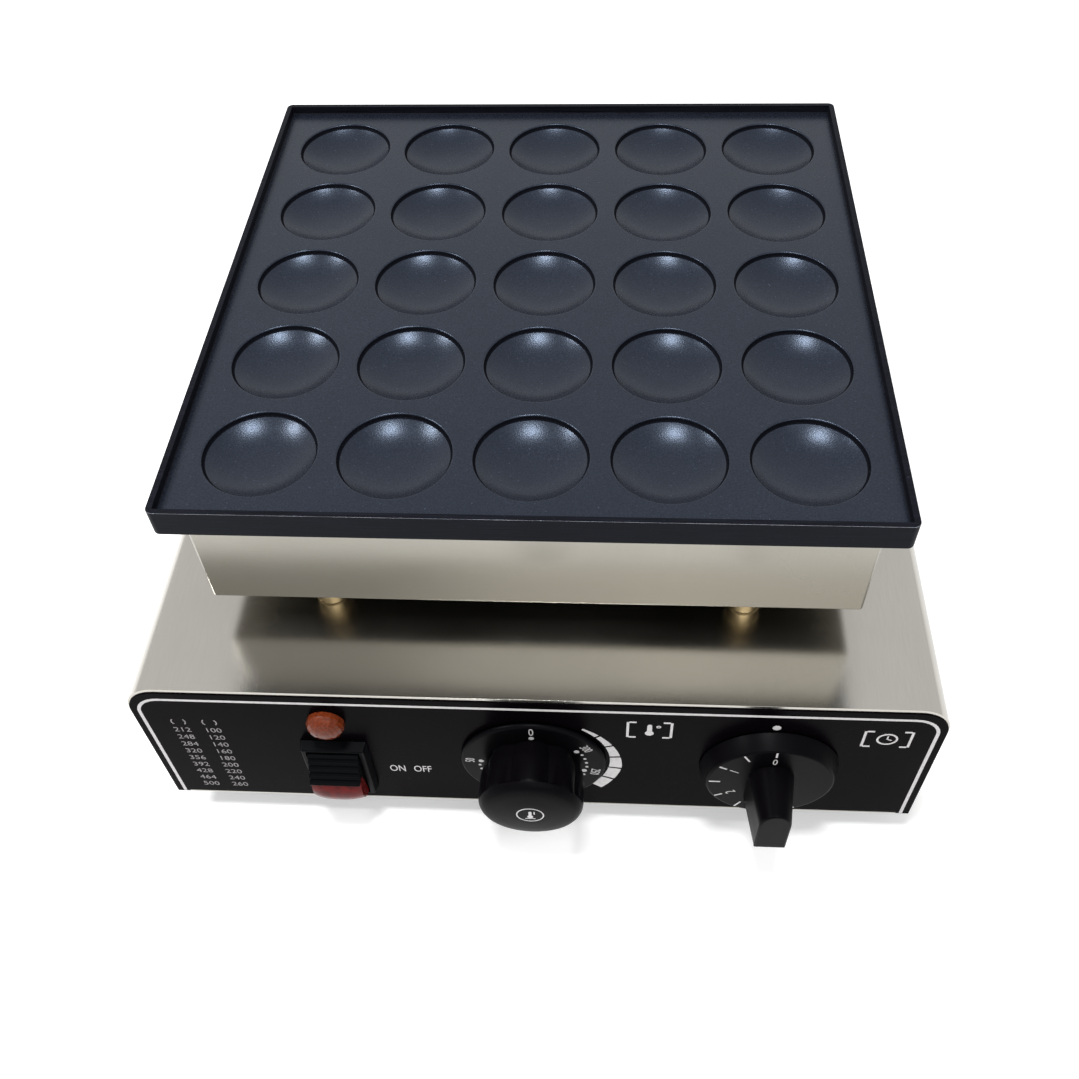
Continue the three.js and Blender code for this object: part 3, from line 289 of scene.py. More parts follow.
def outline(name: str, points: Sequence[Flat], bottom: float, top: float) -> Piece:
    """Draws a flat outline point by point and pulls it up to a solid.

    Args:
        name: Name of the piece.
        points: Corners of the outline, in the plane of X and Y.
        bottom: Height of its lower face.
        top: Height of its upper face.

    Returns:
        The closed solid.
    """
    bpy.ops.mesh.primitive_plane_add(size=NEAR, location=(0, 0, 0))
    piece = named(bpy.context.object, name)
    with shaping(piece, "SELECT"):
        bpy.ops.mesh.merge(type="CENTER")
        bpy.ops.transform.translate(value=(*points[0], bottom))
        for before, after in zip(points, points[1:]):
            pull(after[0] - before[0], after[1] - before[1], 0)
        bpy.ops.mesh.select_all(action="SELECT")
        bpy.ops.mesh.edge_face_add()
        pull(0, 0, top - bottom)
    return close(piece)


def close(piece: Piece) -> Piece:
    """Merges doubles and turns every face outwards.

    Args:
        piece: The piece.

    Returns:
        The same piece.
    """
    with shaping(piece, "SELECT"):
        bpy.ops.mesh.remove_doubles(threshold=NEAR / 2)
        bpy.ops.mesh.normals_make_consistent(inside=False)
    return piece


def round_edges(piece: Piece, radius: float, segments: int, test: Test) -> None:
    """Rounds the edges of a piece that pass a test.

    Args:
        piece: The piece that is shaped.
        radius: Radius of the rounding.
        segments: Number of faces across it.
        test: Tells which edges are rounded.
    """
    with shaping(piece):
        if pick(piece, Kind.EDGE, test):
            bpy.ops.mesh.bevel(offset=radius, segments=segments, affect="EDGES", clamp_overlap=True)


def sink(piece: Piece, test: Test, inset: float, depth: float) -> None:
    """Insets the faces that pass a test and moves what is inside them.

    Args:
        piece: The piece that is shaped.
        test: Tells which faces are inset together.
        inset: Width of the border that stays.
        depth: How far the inner face moves along its own outward side.
    """
    with shaping(piece):
        pick(piece, Kind.FACE, test)
        if inset:
            bpy.ops.mesh.inset(thickness=inset, depth=0)
        mesh = bmesh.from_edit_mesh(piece.data)
        chosen = [face for face in mesh.faces if face.select]
        pull(*sum((face.normal for face in chosen), Vector()).normalized() * depth)


def modify(piece: Piece, kind: str, **settings: object) -> None:
    """Adds one modifier to a piece and applies it.

    Args:
        piece: The piece.
        kind: Blender's name of the modifier's type.
        settings: Its settings.
    """
    take(piece)
    modifier = piece.modifiers.new(kind.lower(), kind)
    for name, value in settings.items():
        setattr(modifier, name, value)
    bpy.ops.object.modifier_apply(modifier=modifier.name)


def cut(piece: Piece, *tools: Piece) -> None:
    """Cuts the tools out of a piece and removes them.

    Args:
        piece: The piece that is cut.
        tools: The cutters.
    """
    for tool in tools:
        modify(piece, "BOOLEAN", operation="DIFFERENCE", object=tool, solver="MANIFOLD")
        bpy.data.objects.remove(tool)


def joined(name: str, pieces: Sequence[Piece]) -> Piece:
    """Joins pieces into one object.

    Args:
        name: Name of the whole.
        pieces: The pieces, which become one.

    Returns:
        The one piece.
    """
    take(*pieces)
    if len(pieces) > 1:
        bpy.ops.object.join()
    return named(pieces[0], name)


def settle(piece: Piece, place: Point, facing: Facing = Facing.UP, spin: float = 0.0) -> Piece:
    """Turns and moves a piece, and keeps its place in its mesh.

    Args:
        piece: The piece, modelled about the origin.
        place: Where its origin goes.
        facing: How it is stood up.
        spin: Clockwise turn in degrees about its own axis, seen from its outer side.

    Returns:
        The same piece, with its object at the origin.
    """
    piece.rotation_euler = (0, 0, -math.radians(spin))
    freeze(piece)
    piece.rotation_euler, piece.location = facing.value, place
    return freeze(piece)


def twin(piece: Piece, name: str, place: Point, facing: Facing = Facing.UP) -> Piece:
    """Copies a piece with its own mesh, then turns and moves the copy.

    Args:
        piece: The piece to copy.
        name: Name of the copy.
        place: Where its origin goes.
        facing: How it is stood up.

    Returns:
        The copy.
    """
    take(piece)
    bpy.ops.object.duplicate(linked=False)
    return settle(named(bpy.context.object, name), place, facing)


def smooth(piece: Piece, degrees: float = 35.0, weighted: bool = True) -> Piece:
    """Shades a piece smooth up to an angle, with flat faces kept flat.

    Args:
        piece: The piece.
        degrees: Edges sharper than this stay sharp.
        weighted: Whether large faces decide the shading.

    Returns:
        The same piece.
    """
    take(piece)
    bpy.ops.object.shade_smooth_by_angle(angle=math.radians(degrees), keep_sharp_edges=True)
    if weighted:
        modify(piece, "WEIGHTED_NORMAL", mode="FACE_AREA", weight=80, keep_sharp=True)
    return piece


class Recipe:
    """The nodes of one material, added one by one."""

    def __init__(self, name: str) -> None:
        """Starts a material with its shader and its Object coordinates.

        Args:
            name: Name of the material.
        """
        self.material = bpy.data.materials.new(name)
        self.material.use_nodes = True
        self.tree = self.material.node_tree
        self.shader = next(n for n in self.tree.nodes if n.type == "BSDF_PRINCIPLED")
        self.place = self.add("ShaderNodeTexCoord").outputs["Object"]

    def put(self, socket: bpy.types.NodeSocket, value: object) -> None:
        """Links another socket to an input, or sets its value.

        Args:
            socket: The input.
            value: A socket or a plain value.
        """
        if isinstance(value, bpy.types.NodeSocket):
            self.tree.links.new(value, socket)
        else:
            socket.default_value = value

    def fill(self, node: bpy.types.Node, **inputs: object) -> bpy.types.Node:
        """Links or sets a node's inputs by their names, with _ for a space.

        Args:
            node: The node.
            inputs: A value or a socket for each input.

        Returns:
            The same node.
        """
        for name, value in inputs.items():
            self.put(node.inputs[name.replace("_", " ")], value)
        return node

    def add(self, kind: str, **inputs: object) -> bpy.types.Node:
        """Adds a node and fills its inputs."""
        return self.fill(self.tree.nodes.new(kind), **inputs)

    def finish(self, **inputs: object) -> bpy.types.Material:
        """Fills the shader's inputs and gives the material."""
        self.fill(self.shader, **inputs)
        return self.material

    def noise(self, scale: float, detail: float = 2.0,
              grain: Grain = Grain.NONE) -> bpy.types.NodeSocket:
        """Gives noise with a number of waves per metre.

        Args:
            scale: Waves per metre.
            detail: Number of finer layers.
            grain: Direction in which the noise is drawn out.

        Returns:
            The noise, from 0 to 1.
        """
        where = self.add("ShaderNodeMapping", Vector=self.place, Scale=grain.value)
        waves = self.add("ShaderNodeTexNoise", Vector=where.outputs["Vector"], Scale=scale,
                         Detail=detail)
        return waves.outputs["Fac"]

    def spread(self, value: bpy.types.NodeSocket, low: float, high: float,
               start: float = 0.2, end: float = 0.8) -> bpy.types.NodeSocket:
        """Maps the middle range of a noise to low and high.

        Args:
            value: The noise.
            low: Result at start.
            high: Result at end.
            start: Noise that gives low.
            end: Noise that gives high.

        Returns:
            The mapped value.
        """
        node = self.add("ShaderNodeMapRange", Value=value, From_Min=start, From_Max=end, To_Min=low,
                        To_Max=high)
        return node.outputs["Result"]

    def blend(self, share: bpy.types.NodeSocket, first: object,
              second: object) -> bpy.types.NodeSocket:
        """Mixes two colours or colour sockets by a share.

        Args:
            share: Share of the second colour.
            first: Colour at 0.
            second: Colour at 1.

        Returns:
            The mixed colour.
        """
        node = self.tree.nodes.new("ShaderNodeMix")
        node.data_type = "RGBA"
        sockets = {"Factor": share, "A": first, "B": second}
        for name, value in sockets.items():
            wanted = "VALUE" if name == "Factor" else "RGBA"
            self.put(next(s for s in node.inputs if s.name == name and s.type == wanted), value)
        return next(s for s in node.outputs if s.type == "RGBA")

    def bump(self, height: bpy.types.NodeSocket, strength: float,
             distance: float) -> bpy.types.NodeSocket:
        """Gives a normal with relief."""
        return self.add("ShaderNodeBump", Height=height, Strength=strength,
                        Distance=distance).outputs["Normal"]


def linear(colour: Colour, gain: float = 1.0) -> tuple[float, float, float, float]:
    """Turns a screen colour from 0 to 255 into the shader's own values.

    Args:
        colour: Red, green and blue.
        gain: Factor for a lighter or darker shade.

    Returns:
        Red, green, blue and a full alpha.
    """
    def channel(value: int) -> float:
        """Turns one channel.

        Args:
            value: The channel, from 0 to 255.

        Returns:
            Its linear value.
        """
        share = value / 255
        line = share / 12.92 if share <= 0.04045 else ((share + 0.055) / 1.055) ** 2.4
        return min(line * gain, 1.0)

    return channel(colour[0]), channel(colour[1]), channel(colour[2]), 1.0


@dataclass(frozen=True)
class Finish:
    """What all finishes share: a name and a colour."""

    name: str
    colour: Colour

    def shades(self, recipe: Recipe, share: bpy.types.NodeSocket, low: float,
               high: float) -> bpy.types.NodeSocket:
        """Mixes two shades of the colour by a share."""
        return recipe.blend(share, linear(self.colour, low), linear(self.colour, high))


@dataclass(frozen=True)
class SheetSteel(Finish):
    """Brushed or plain steel sheet with fine lines and faint smudges."""

    roughness: float = 0.2
    grain: Grain = Grain.Y
    lines: float = 0.05
    smudge: float = 0.05

    def material(self) -> bpy.types.Material:
        """Builds the material.

        Returns:
            The finished material.
        """
        recipe = Recipe(self.name)
        lines = recipe.noise(2600, 3, self.grain)
        patches = recipe.noise(14, 3)
        light = self.shades(recipe, recipe.spread(lines, 0, 1), 1 - self.lines, 1 + self.lines)
        dull, sleek = self.roughness + self.smudge, self.roughness - self.smudge / 2
        return recipe.finish(
            Base_Color=recipe.blend(recipe.spread(patches, 0, 0.7), light,
                                    linear(self.colour, 0.9)),
            Roughness=recipe.spread(patches, sleek, dull),
            Normal=recipe.bump(lines, 0.12, 0.00004),
            Metallic=1.0,
        )


@dataclass(frozen=True)
class NonStick(Finish):
    """Non-stick coating with a fine speckle, on a cast surface."""

    roughness: float
    speckle: float = 0.4
    grain: Grain = Grain.NONE
    relief: float = 0.4
    gloss: float = 0.3
    sheen: Colour = (205, 225, 255)

    def material(self) -> bpy.types.Material:
        """Builds the material.

        Returns:
            The finished material.
        """
        recipe = Recipe(self.name)
        fine = recipe.noise(1500, 3, self.grain)
        coarse = recipe.noise(60, 3)
        specks = self.shades(recipe, recipe.spread(fine, 0, 1, 0.35, 0.7), 1 - self.speckle,
                             1 + 2 * self.speckle)
        clouds = recipe.blend(recipe.spread(coarse, 0, 0.6), specks, linear(self.colour, 0.7))
        grains = recipe.spread(recipe.noise(900, 1), 0, 1, 0.7, 0.8)
        return recipe.finish(
            Base_Color=recipe.blend(grains, clouds, linear(self.colour, 4.0)),
            Roughness=recipe.spread(fine, self.roughness - 0.04, self.roughness + 0.06),
            Normal=recipe.bump(fine, self.relief, 0.00012),
            Specular_IOR_Level=self.gloss,
            Specular_Tint=linear(self.sheen),
        )


@dataclass(frozen=True)
class Moulding(Finish):
    """Moulded plastic or rubber with a fine mould texture."""

    roughness: float
    texture: float = 0.1
    scale: float = 1800
    gloss: float = 0.1

    def material(self) -> bpy.types.Material:
        """Builds the material.

        Returns:
            The finished material.
        """
        recipe = Recipe(self.name)
        broad = recipe.noise(45, 2)
        return recipe.finish(
            Base_Color=self.shades(recipe, recipe.spread(broad, 0, 1), 0.88, 1.12),
            Roughness=recipe.spread(broad, self.roughness - 0.04, self.roughness + 0.05),
            Normal=recipe.bump(recipe.noise(self.scale, 2), self.texture, 0.00006),
            Specular_IOR_Level=self.gloss,
        )


@dataclass(frozen=True)
class TurnedMetal(Finish):
    """Bare metal with fine rings or scratches and darker patches."""

    roughness: float
    grain: Grain = Grain.X
    tarnish: float = 0.3

    def material(self) -> bpy.types.Material:
        """Builds the material.

        Returns:
            The finished material.
        """
        recipe = Recipe(self.name)
        lines = recipe.noise(1400, 2, self.grain)
        patches = recipe.noise(120, 3)
        clean = self.shades(recipe, recipe.spread(lines, 0, 1), 0.88, 1.06)
        stained = linear(self.colour, 1 - self.tarnish)
        return recipe.finish(
            Base_Color=recipe.blend(recipe.spread(patches, 0, 0.9), clean, stained),
            Roughness=recipe.spread(patches, self.roughness, self.roughness + 0.12),
            Normal=recipe.bump(lines, 0.15, 0.00005),
            Metallic=1.0,
        )


@dataclass(frozen=True)
class ClearLens(Finish):
    """Tinted clear plastic with a moulded pattern under its surface."""

    roughness: float
    facets: float = 320
    gloss: float = 0.3
    clear: float = 0.15

    def material(self) -> bpy.types.Material:
        """Builds the material.

        Returns:
            The finished material.
        """
        recipe = Recipe(self.name)
        depth = recipe.noise(self.facets, 2)
        return recipe.finish(
            Base_Color=self.shades(recipe, recipe.spread(depth, 0, 1), 0.5, 1.5),
            Normal=recipe.bump(depth, 0.3, 0.0002),
            Roughness=self.roughness,
            Transmission_Weight=self.clear,
            Specular_IOR_Level=self.gloss,
        )


@dataclass(frozen=True)
class PrintInk(Finish):
    """Pale screen print with slightly uneven cover."""

    wear: float = 0.25

    def material(self) -> bpy.types.Material:
        """Builds the material.

        Returns:
            The finished material.
        """
        recipe = Recipe(self.name)
        cover = recipe.spread(recipe.noise(700, 3), 0, self.wear, 0.45, 0.7)
        return recipe.finish(Base_Color=self.shades(recipe, cover, 1.0, 0.4), Roughness=0.5,
                             Specular_IOR_Level=0.2)


FINISHES = {finish.name: finish for finish in (
    SheetSteel("cover_steel", (179, 176, 169), 0.18, Grain.Y),
    SheetSteel("head_steel", (153, 150, 142), 0.24, Grain.Z),
    SheetSteel("plain_steel", (150, 152, 154), 0.35, Grain.X, 0.03, 0.1),
    SheetSteel("rolled_aluminium", (180, 182, 184), 0.4, Grain.X, 0.04, 0.1),
    NonStick("cooking_coat", (22, 25, 33), 0.27, gloss=0.36),
    # Near-black coat for the steep walls of the cavities: painted shade, standing in for the shadow
    # in each groove.
    NonStick("groove_painted_shade", (11, 12, 17), 0.6, 0.3, gloss=0.03),
    NonStick("rim_coat", (13, 13, 18), 0.5, 0.5, Grain.X, 0.5, 0.08),
    # Light coat for the front rim edge: a painted highlight line along it.
    NonStick("front_edge_painted_highlight", (126, 128, 134), 0.35, 0.5, Grain.X, 0.2, 0.4),
    Moulding("panel_enamel", (6, 4, 6), 0.25, 0.02, 900, 0.01),
    Moulding("knob_black", (6, 5, 7), 0.34, 0.12, 2600, 0.025),
    Moulding("switch_black", (7, 8, 10), 0.38, 0.12, 2600, 0.03),
    Moulding("soft_rubber", (22, 22, 22), 0.75, 0.5, 1400),
    Moulding("pale_moulding", (214, 208, 192), 0.55),
    Moulding("fibre_felt", (226, 220, 206), 0.95, 1.0, 500),
    Moulding("red_sleeve", (164, 38, 32), 0.5),
    Moulding("blue_sleeve", (44, 74, 154), 0.5),
    TurnedMetal("sheath_metal", (92, 84, 78), 0.5, Grain.X, 0.4),
    TurnedMetal("turned_brass", (204, 182, 140), 0.25, Grain.X, 0.25),
    TurnedMetal("drawn_copper", (184, 108, 66), 0.35, Grain.Y, 0.4),
    ClearLens("red_tint", (94, 10, 8), 0.16, gloss=0.04),
    ClearLens("orange_tint", (102, 43, 21), 0.14, 900, 0.08),
    PrintInk("white_print", (206, 204, 204)),
    PrintInk("grey_print", (138, 134, 136), 0.4),
)}


@cache
def coat(name: str) -> bpy.types.Material:
    """Makes the material of a finish, once."""
    return FINISHES[name].material()


def dress(piece: Piece, *names: str) -> None:
    """Gives a piece its finishes, one for each material slot.

    Args:
        piece: The piece or CAD node.
        names: Names of the finishes.
    """
    piece.data.materials.clear()
    for name in names:
        piece.data.materials.append(coat(name))


def fit(piece: Piece, body: str, finish: str,
        stands_for: Sequence[str] = ()) -> Piece:
    """Dresses a piece, hangs it on its body and reports it.

    Args:
        piece: The finished piece, in its place.
        body: The CAD body that it moves with.
        finish: Name of its finish.
        stands_for: CAD nodes that it takes the place of.

    Returns:
        The same piece.
    """
    if not any(piece.data.materials):
        dress(piece, finish)
    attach(piece, body)
    if stands_for:
        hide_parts(*stands_for)
    LOG.info("%s on %s, %d faces", piece.name, body, len(piece.data.polygons))
    return piece


def at_corners(first: Piece, name: str, spread: Flat, finish: str, node: str) -> None:
    """Fits four copies of a piece at the corners of the machine, and removes the piece.

    Args:
        first: The piece, modelled about the origin.
        name: Name of the copies, before their number.
        spread: Distance of the corners from the middle, across and along.
        finish: Name of their finish.
        node: Name of the CAD nodes that they take the place of, before their number.
    """
    for number, (x, y) in enumerate([(-1, -1), (1, -1), (-1, 1), (1, 1)], 1):
        copy = twin(first, f"{name}_{number}", (x * spread[0], MIDDLE_Y + y * spread[1], 0))
        fit(copy, "root", finish, [f"{node}_{number}"])
    bpy.data.objects.remove(first)


@dataclass
class CastPlate:
    """The cast baking plate with its rim and its cavities."""

    side: float = 0.2935
    corner: float = 0.003
    bottom: float = 0.1759
    face: float = 0.1845
    rim_top: float = 0.1885
    rim_width: float = 0.0025
    rim_root: float = 0.0012
    rim_edge: float = 0.0007
    lower_edge: float = 0.001
    pad_margin: float = 0.0183
    pad_depth: float = 0.005
    per_side: int = 5
    pitch: float = 0.055
    bowl_radius: float = 0.0226
    bowl_depth: float = 0.006
    bowl_power: float = 2.7
    bowl_edge: float = 0.975
    bowl_rings: int = 14
    step: float = 0.002
    wall: tuple[Flat, ...] = (
        (0.0224, -0.00212), (0.02272, -0.0019), (0.02292, -0.00164), (0.02304, -0.00135),
        (0.02316, -0.001), (0.02328, -0.0007), (0.02342, -0.00042), (0.02362, -0.0002),
        (0.0239, -0.00006), (0.0243, 0.00002), (0.0243, 0.001),
    )
    wall_reach: float = 0.002
    # Heights, below the cooking face, of the band on the cavity walls that gets painted shade.
    painted_shade_band: Flat = (-0.0021, -0.0004)

    def casting(self) -> Piece:
        """Shapes the plate with its rim and the thicker pad under it.

        Returns:
            The casting, without its cavities.
        """
        half = self.side / 2
        piece = block("baking_plate_casting", (-half, MIDDLE_Y - half, self.bottom),
                      (half, MIDDLE_Y + half, self.rim_top))
        sink(piece, lambda f: level(f, self.bottom), self.pad_margin, self.pad_depth)
        round_edges(piece, self.corner, 6, lambda e: runs_along(e, 2))
        sink(piece, lambda f: level(f, self.rim_top), self.rim_width, self.face - self.rim_top)
        round_edges(piece, self.rim_root, 4, lambda e: level(e, self.face))
        round_edges(piece, self.rim_edge, 3, lambda e: level(e, self.rim_top))
        round_edges(piece, self.lower_edge, 3, lambda e: level(e, self.bottom) and self.is_outer(e))
        return piece

    def is_outer(self, item: Item) -> bool:
        """Tells whether an element lies on the outer wall."""
        place = middle(item)
        return max(abs(place.x), abs(place.y - MIDDLE_Y)) > self.side / 2 - self.wall_reach

    def cavities(self) -> Piece:
        """Turns one cavity as a cutter and copies it to all of its places.

        Returns:
            The cutters of all cavities, as one piece.
        """
        floor = -self.step - self.bowl_depth
        shares = [*(i / self.bowl_rings for i in range(1, self.bowl_rings)), self.bowl_edge]
        bowl = [(self.bowl_radius * share, floor + self.bowl_depth * share**self.bowl_power)
                for share in shares]
        first = turned("cavity", [*bowl, *self.wall])
        shifts = [(i - (self.per_side - 1) / 2) * self.pitch for i in range(self.per_side)]
        tools = [twin(first, "cavity", (x, MIDDLE_Y + y, self.face))
                 for y in shifts for x in shifts]
        bpy.data.objects.remove(first)
        return joined("cavities", tools)

    def dress(self, piece: Piece) -> None:
        """Coats the cooking side and the rim, with painted shade on the cavities' walls and a
        painted highlight along the front edge.

        Args:
            piece: The finished casting.
        """
        low, high = (self.face + height for height in self.painted_shade_band)
        tests = {
            "cooking_coat": lambda f: True,
            # The band on the cavity walls gets a near-black coat as painted shade.
            "groove_painted_shade": lambda f: low < middle(f).z < high,
            "rim_coat": lambda f: (middle(f).z > self.face + NEAR or self.is_outer(f)
                                   or middle(f).z < self.bottom + NEAR),
            # The front bevel of the rim gets a light coat as a painted highlight.
            "front_edge_painted_highlight": lambda f: self.is_outer(f) and f.normal.y < -0.2 and f.normal.z > 0.2,
        }
        dress(piece, *tests)
        with shaping(piece):
            for index, test in enumerate(tests.values()):
                pick(piece, Kind.FACE, test)
                piece.active_material_index = index
                bpy.ops.object.material_slot_assign()

    def build(self) -> None:
        """Builds the plate."""
        piece = self.casting()
        cut(piece, self.cavities())
        smooth(piece, 40)
        self.dress(piece)
        fit(piece, "root", "cooking_coat", ["baking_plate"])


@dataclass
class HeadCasing:
    """The folded steel tray under the plate, and the brass spacers under it."""

    side: float = 0.276
    bottom: float = 0.1234
    top: float = 0.1756
    sheet: float = 0.001
    fold: float = 0.0016
    corner: float = 0.0015
    spacer_radius: float = 0.0073
    spacer_bore: float = 0.0028
    spacer_ends: Flat = (0.1073, 0.1231)
    spacer_spread: Flat = (0.0913, 0.122)
    chamfer: float = 0.0006
    groove: float = 0.0004

    def tray(self) -> Piece:
        """Folds the tray from a block.

        Returns:
            The tray.
        """
        half = self.side / 2
        piece = block("head_tray", (-half, MIDDLE_Y - half, self.bottom),
                      (half, MIDDLE_Y + half, self.top))
        round_edges(piece, self.corner, 4, lambda e: runs_along(e, 2))
        round_edges(piece, self.fold, 4, lambda e: level(e, self.bottom))
        sink(piece, lambda f: level(f, self.top), self.sheet, self.sheet - self.top + self.bottom)
        return smooth(piece)

    def spacer(self) -> Piece:
        """Turns one spacer with chamfered rims and a shallow groove.

        Returns:
            The spacer, about the origin.
        """
        outer, bore = self.spacer_radius, self.spacer_bore
        chamfer, groove = self.chamfer, self.groove
        low, high = self.spacer_ends
        waist = (low + high) / 2
        piece = turned("brass_spacer", [
            (bore, low), (outer - chamfer, low), (outer, low + chamfer),
            (outer, waist - 3 * groove),
            (outer - groove, waist - 2 * groove), (outer - groove, waist + 2 * groove),
            (outer, waist + 3 * groove), (outer, high - chamfer), (outer - chamfer, high),
            (bore, high),
        ], 48, ring=True)
        return smooth(piece)

    def build(self) -> None:
        """Builds the tray and the spacers."""
        fit(self.tray(), "root", "head_steel", ["head_housing"])
        at_corners(self.spacer(), "turned_spacer", self.spacer_spread, "turned_brass",
                   "brass_spacer")


@dataclass
class ControlHoles:
    """The holes for the dials, the lamp and the switch."""

    bush: float = 0.0051
    lamp: float = 0.0061
    switch_width: float = 0.0282
    switch_height: float = 0.0394
    ahead: float = 0.002
    behind: float = 0.004

    def tools(self) -> list[Piece]:
        """Makes the cutters through the front wall.

        Returns:
            The cutters, in their places.
        """
        rounds = [(0, DIAL_Z, self.bush), (TIMER_X, DIAL_Z, self.bush),
                  (SWITCH_X, LAMP_Z, self.lamp)]
        tools = []
        for x, z, radius in rounds:
            tool = turned("round_hole", [(radius, -self.behind), (radius, self.ahead)], 32)
            tools.append(settle(tool, (x, PANEL_Y, z), Facing.FRONT))
        half_width, half_height = self.switch_width / 2, self.switch_height / 2
        low = (SWITCH_X - half_width, PANEL_Y - self.ahead, SWITCH_Z - half_height)
        high = (SWITCH_X + half_width, PANEL_Y + self.behind, SWITCH_Z + half_height)
        return [*tools, block("switch_hole", low, high)]


@dataclass
class BaseCase:
    """The folded cover, the rear panel, the bottom plate and the feet."""

    width: float = 0.349
    front: float = PANEL_Y + 0.0005
    back: float = BASE_BACK
    sheet: float = 0.0012
    gap: float = 0.0003
    side_bend: float = 0.0145
    front_bend: float = 0.0022
    flange: float = 0.011
    flange_bend: float = 0.0012
    rear_corner: float = 0.013
    bottom_front: float = PANEL_Y + 0.0026
    gland_hole: float = 0.0083
    rear_slots_x: float = 0.065
    bottom_slots_x: float = 0.07
    bottom_slots_y: float = 0.04
    slot_length: float = 0.044
    slot_width: float = 0.004
    slot_pitch: float = 0.012
    slot_count: int = 5
    slot_reach: float = 0.003
    foot_spread: Flat = (0.1425, 0.144)
    foot_profile: tuple[Flat, ...] = (
        (0.0023, 0.008), (0.0055, 0.008), (0.0055, 0.0006), (0.0061, 0), (0.0125, 0),
        (0.0135, 0.001), (0.0158, 0.0137), (0.0151, 0.0147), (0.0023, 0.0147),
    )

    def cover(self) -> Piece:
        """Folds the cover from a block: top, sides and front wall.

        Returns:
            The cover.
        """
        half = self.width / 2
        piece = block("folded_cover", (-half, self.front, BASE_BOTTOM), (half, self.back, BASE_TOP))
        round_edges(piece, self.side_bend, 10, lambda e: runs_along(e, 1) and level(e, BASE_TOP))
        round_edges(piece, self.front_bend, 5, lambda e: runs_along(e, 0) and level(e, BASE_TOP)
                    and level(e, self.front, 1))
        with shaping(piece):
            pick(piece, Kind.FACE, lambda f: level(f, BASE_BOTTOM) or level(f, self.back, 1))
            bpy.ops.mesh.delete(type="FACE")
        modify(piece, "SOLIDIFY", thickness=self.sheet, offset=-1.0)
        cut(piece, *ControlHoles().tools())
        return smooth(piece, 30)

    def slots(self, places: Sequence[Point], facing: Facing) -> Piece:
        """Makes the cutters for fields of round-ended slots.

        Args:
            places: Middle of each field.
            facing: The side that the fields are on.

        Returns:
            The cutters, as one piece.
        """
        radius = self.slot_width / 2
        half = self.slot_length / 2 - radius
        ends = [*arc((half, 0), radius, -90, 90, 8), *arc((-half, 0), radius, 90, 270, 8)]
        first = outline("slot", ends, -self.slot_reach, self.slot_reach)
        tools = []
        for x, y, z in places:
            for i in range(self.slot_count):
                shift = (i - (self.slot_count - 1) / 2) * self.slot_pitch
                along = (x, y + shift, z) if facing is Facing.UP else (x, y, z + shift)
                tools.append(twin(first, "slot", along, facing))
        bpy.data.objects.remove(first)
        return joined("slots", tools)

    def rear_panel(self) -> Piece:
        """Folds the rear panel, with louvre slots and the hole of the gland.

        Returns:
            The rear panel.
        """
        half, inner = self.width / 2 - self.sheet - self.gap, self.back - self.flange
        low, high = BASE_BOTTOM + self.flange + self.gap, BASE_TOP - self.sheet - self.gap
        piece = block("rear_tray", (-half, inner, low), (half, self.back, high))
        round_edges(piece, self.rear_corner, 10, lambda e: runs_along(e, 1) and level(e, high))
        round_edges(piece, self.flange_bend, 3, lambda e: level(e, self.back, 1))
        sink(piece, lambda f: level(f, inner, 1), self.sheet, self.sheet - self.flange)
        tool = turned("gland_hole", [(self.gland_hole, -0.004), (self.gland_hole, 0.004)], 32)
        settle(tool, (GLAND_X, self.back, GLAND_Z), Facing.BACK)
        places = [(x, self.back, (low + high) / 2) for x in (-self.rear_slots_x, self.rear_slots_x)]
        cut(piece, self.slots(places, Facing.BACK), tool)
        return smooth(piece, 30)

    def bottom_plate(self) -> Piece:
        """Folds the bottom plate, with its slots.

        Returns:
            The bottom plate.
        """
        half, top = self.width / 2 - self.sheet - self.gap, BASE_BOTTOM + self.flange
        piece = block("bottom_tray", (-half, self.bottom_front, BASE_BOTTOM),
                      (half, self.back, top))
        round_edges(piece, self.flange_bend, 3, lambda e: level(e, BASE_BOTTOM)
                    and not level(e, self.bottom_front, 1))
        sink(piece, lambda f: level(f, top), self.sheet, self.sheet - self.flange)
        x, shift = self.bottom_slots_x, self.bottom_slots_y
        places = [(x, MIDDLE_Y - shift, BASE_BOTTOM), (x, MIDDLE_Y + shift, BASE_BOTTOM),
                  (-x, MIDDLE_Y - shift, BASE_BOTTOM)]
        cut(piece, self.slots(places, Facing.UP))
        return smooth(piece, 30)

    def build(self) -> None:
        """Builds the case and its rubber feet."""
        fit(self.cover(), "root", "cover_steel", ["base_shell"])
        fit(self.rear_panel(), "root", "plain_steel", ["rear_panel"])
        fit(self.bottom_plate(), "root", "plain_steel", ["bottom_plate"])
        foot = smooth(turned("foot", self.foot_profile, 48, ring=True))
        at_corners(foot, "rubber_foot", self.foot_spread, "soft_rubber", "foot")


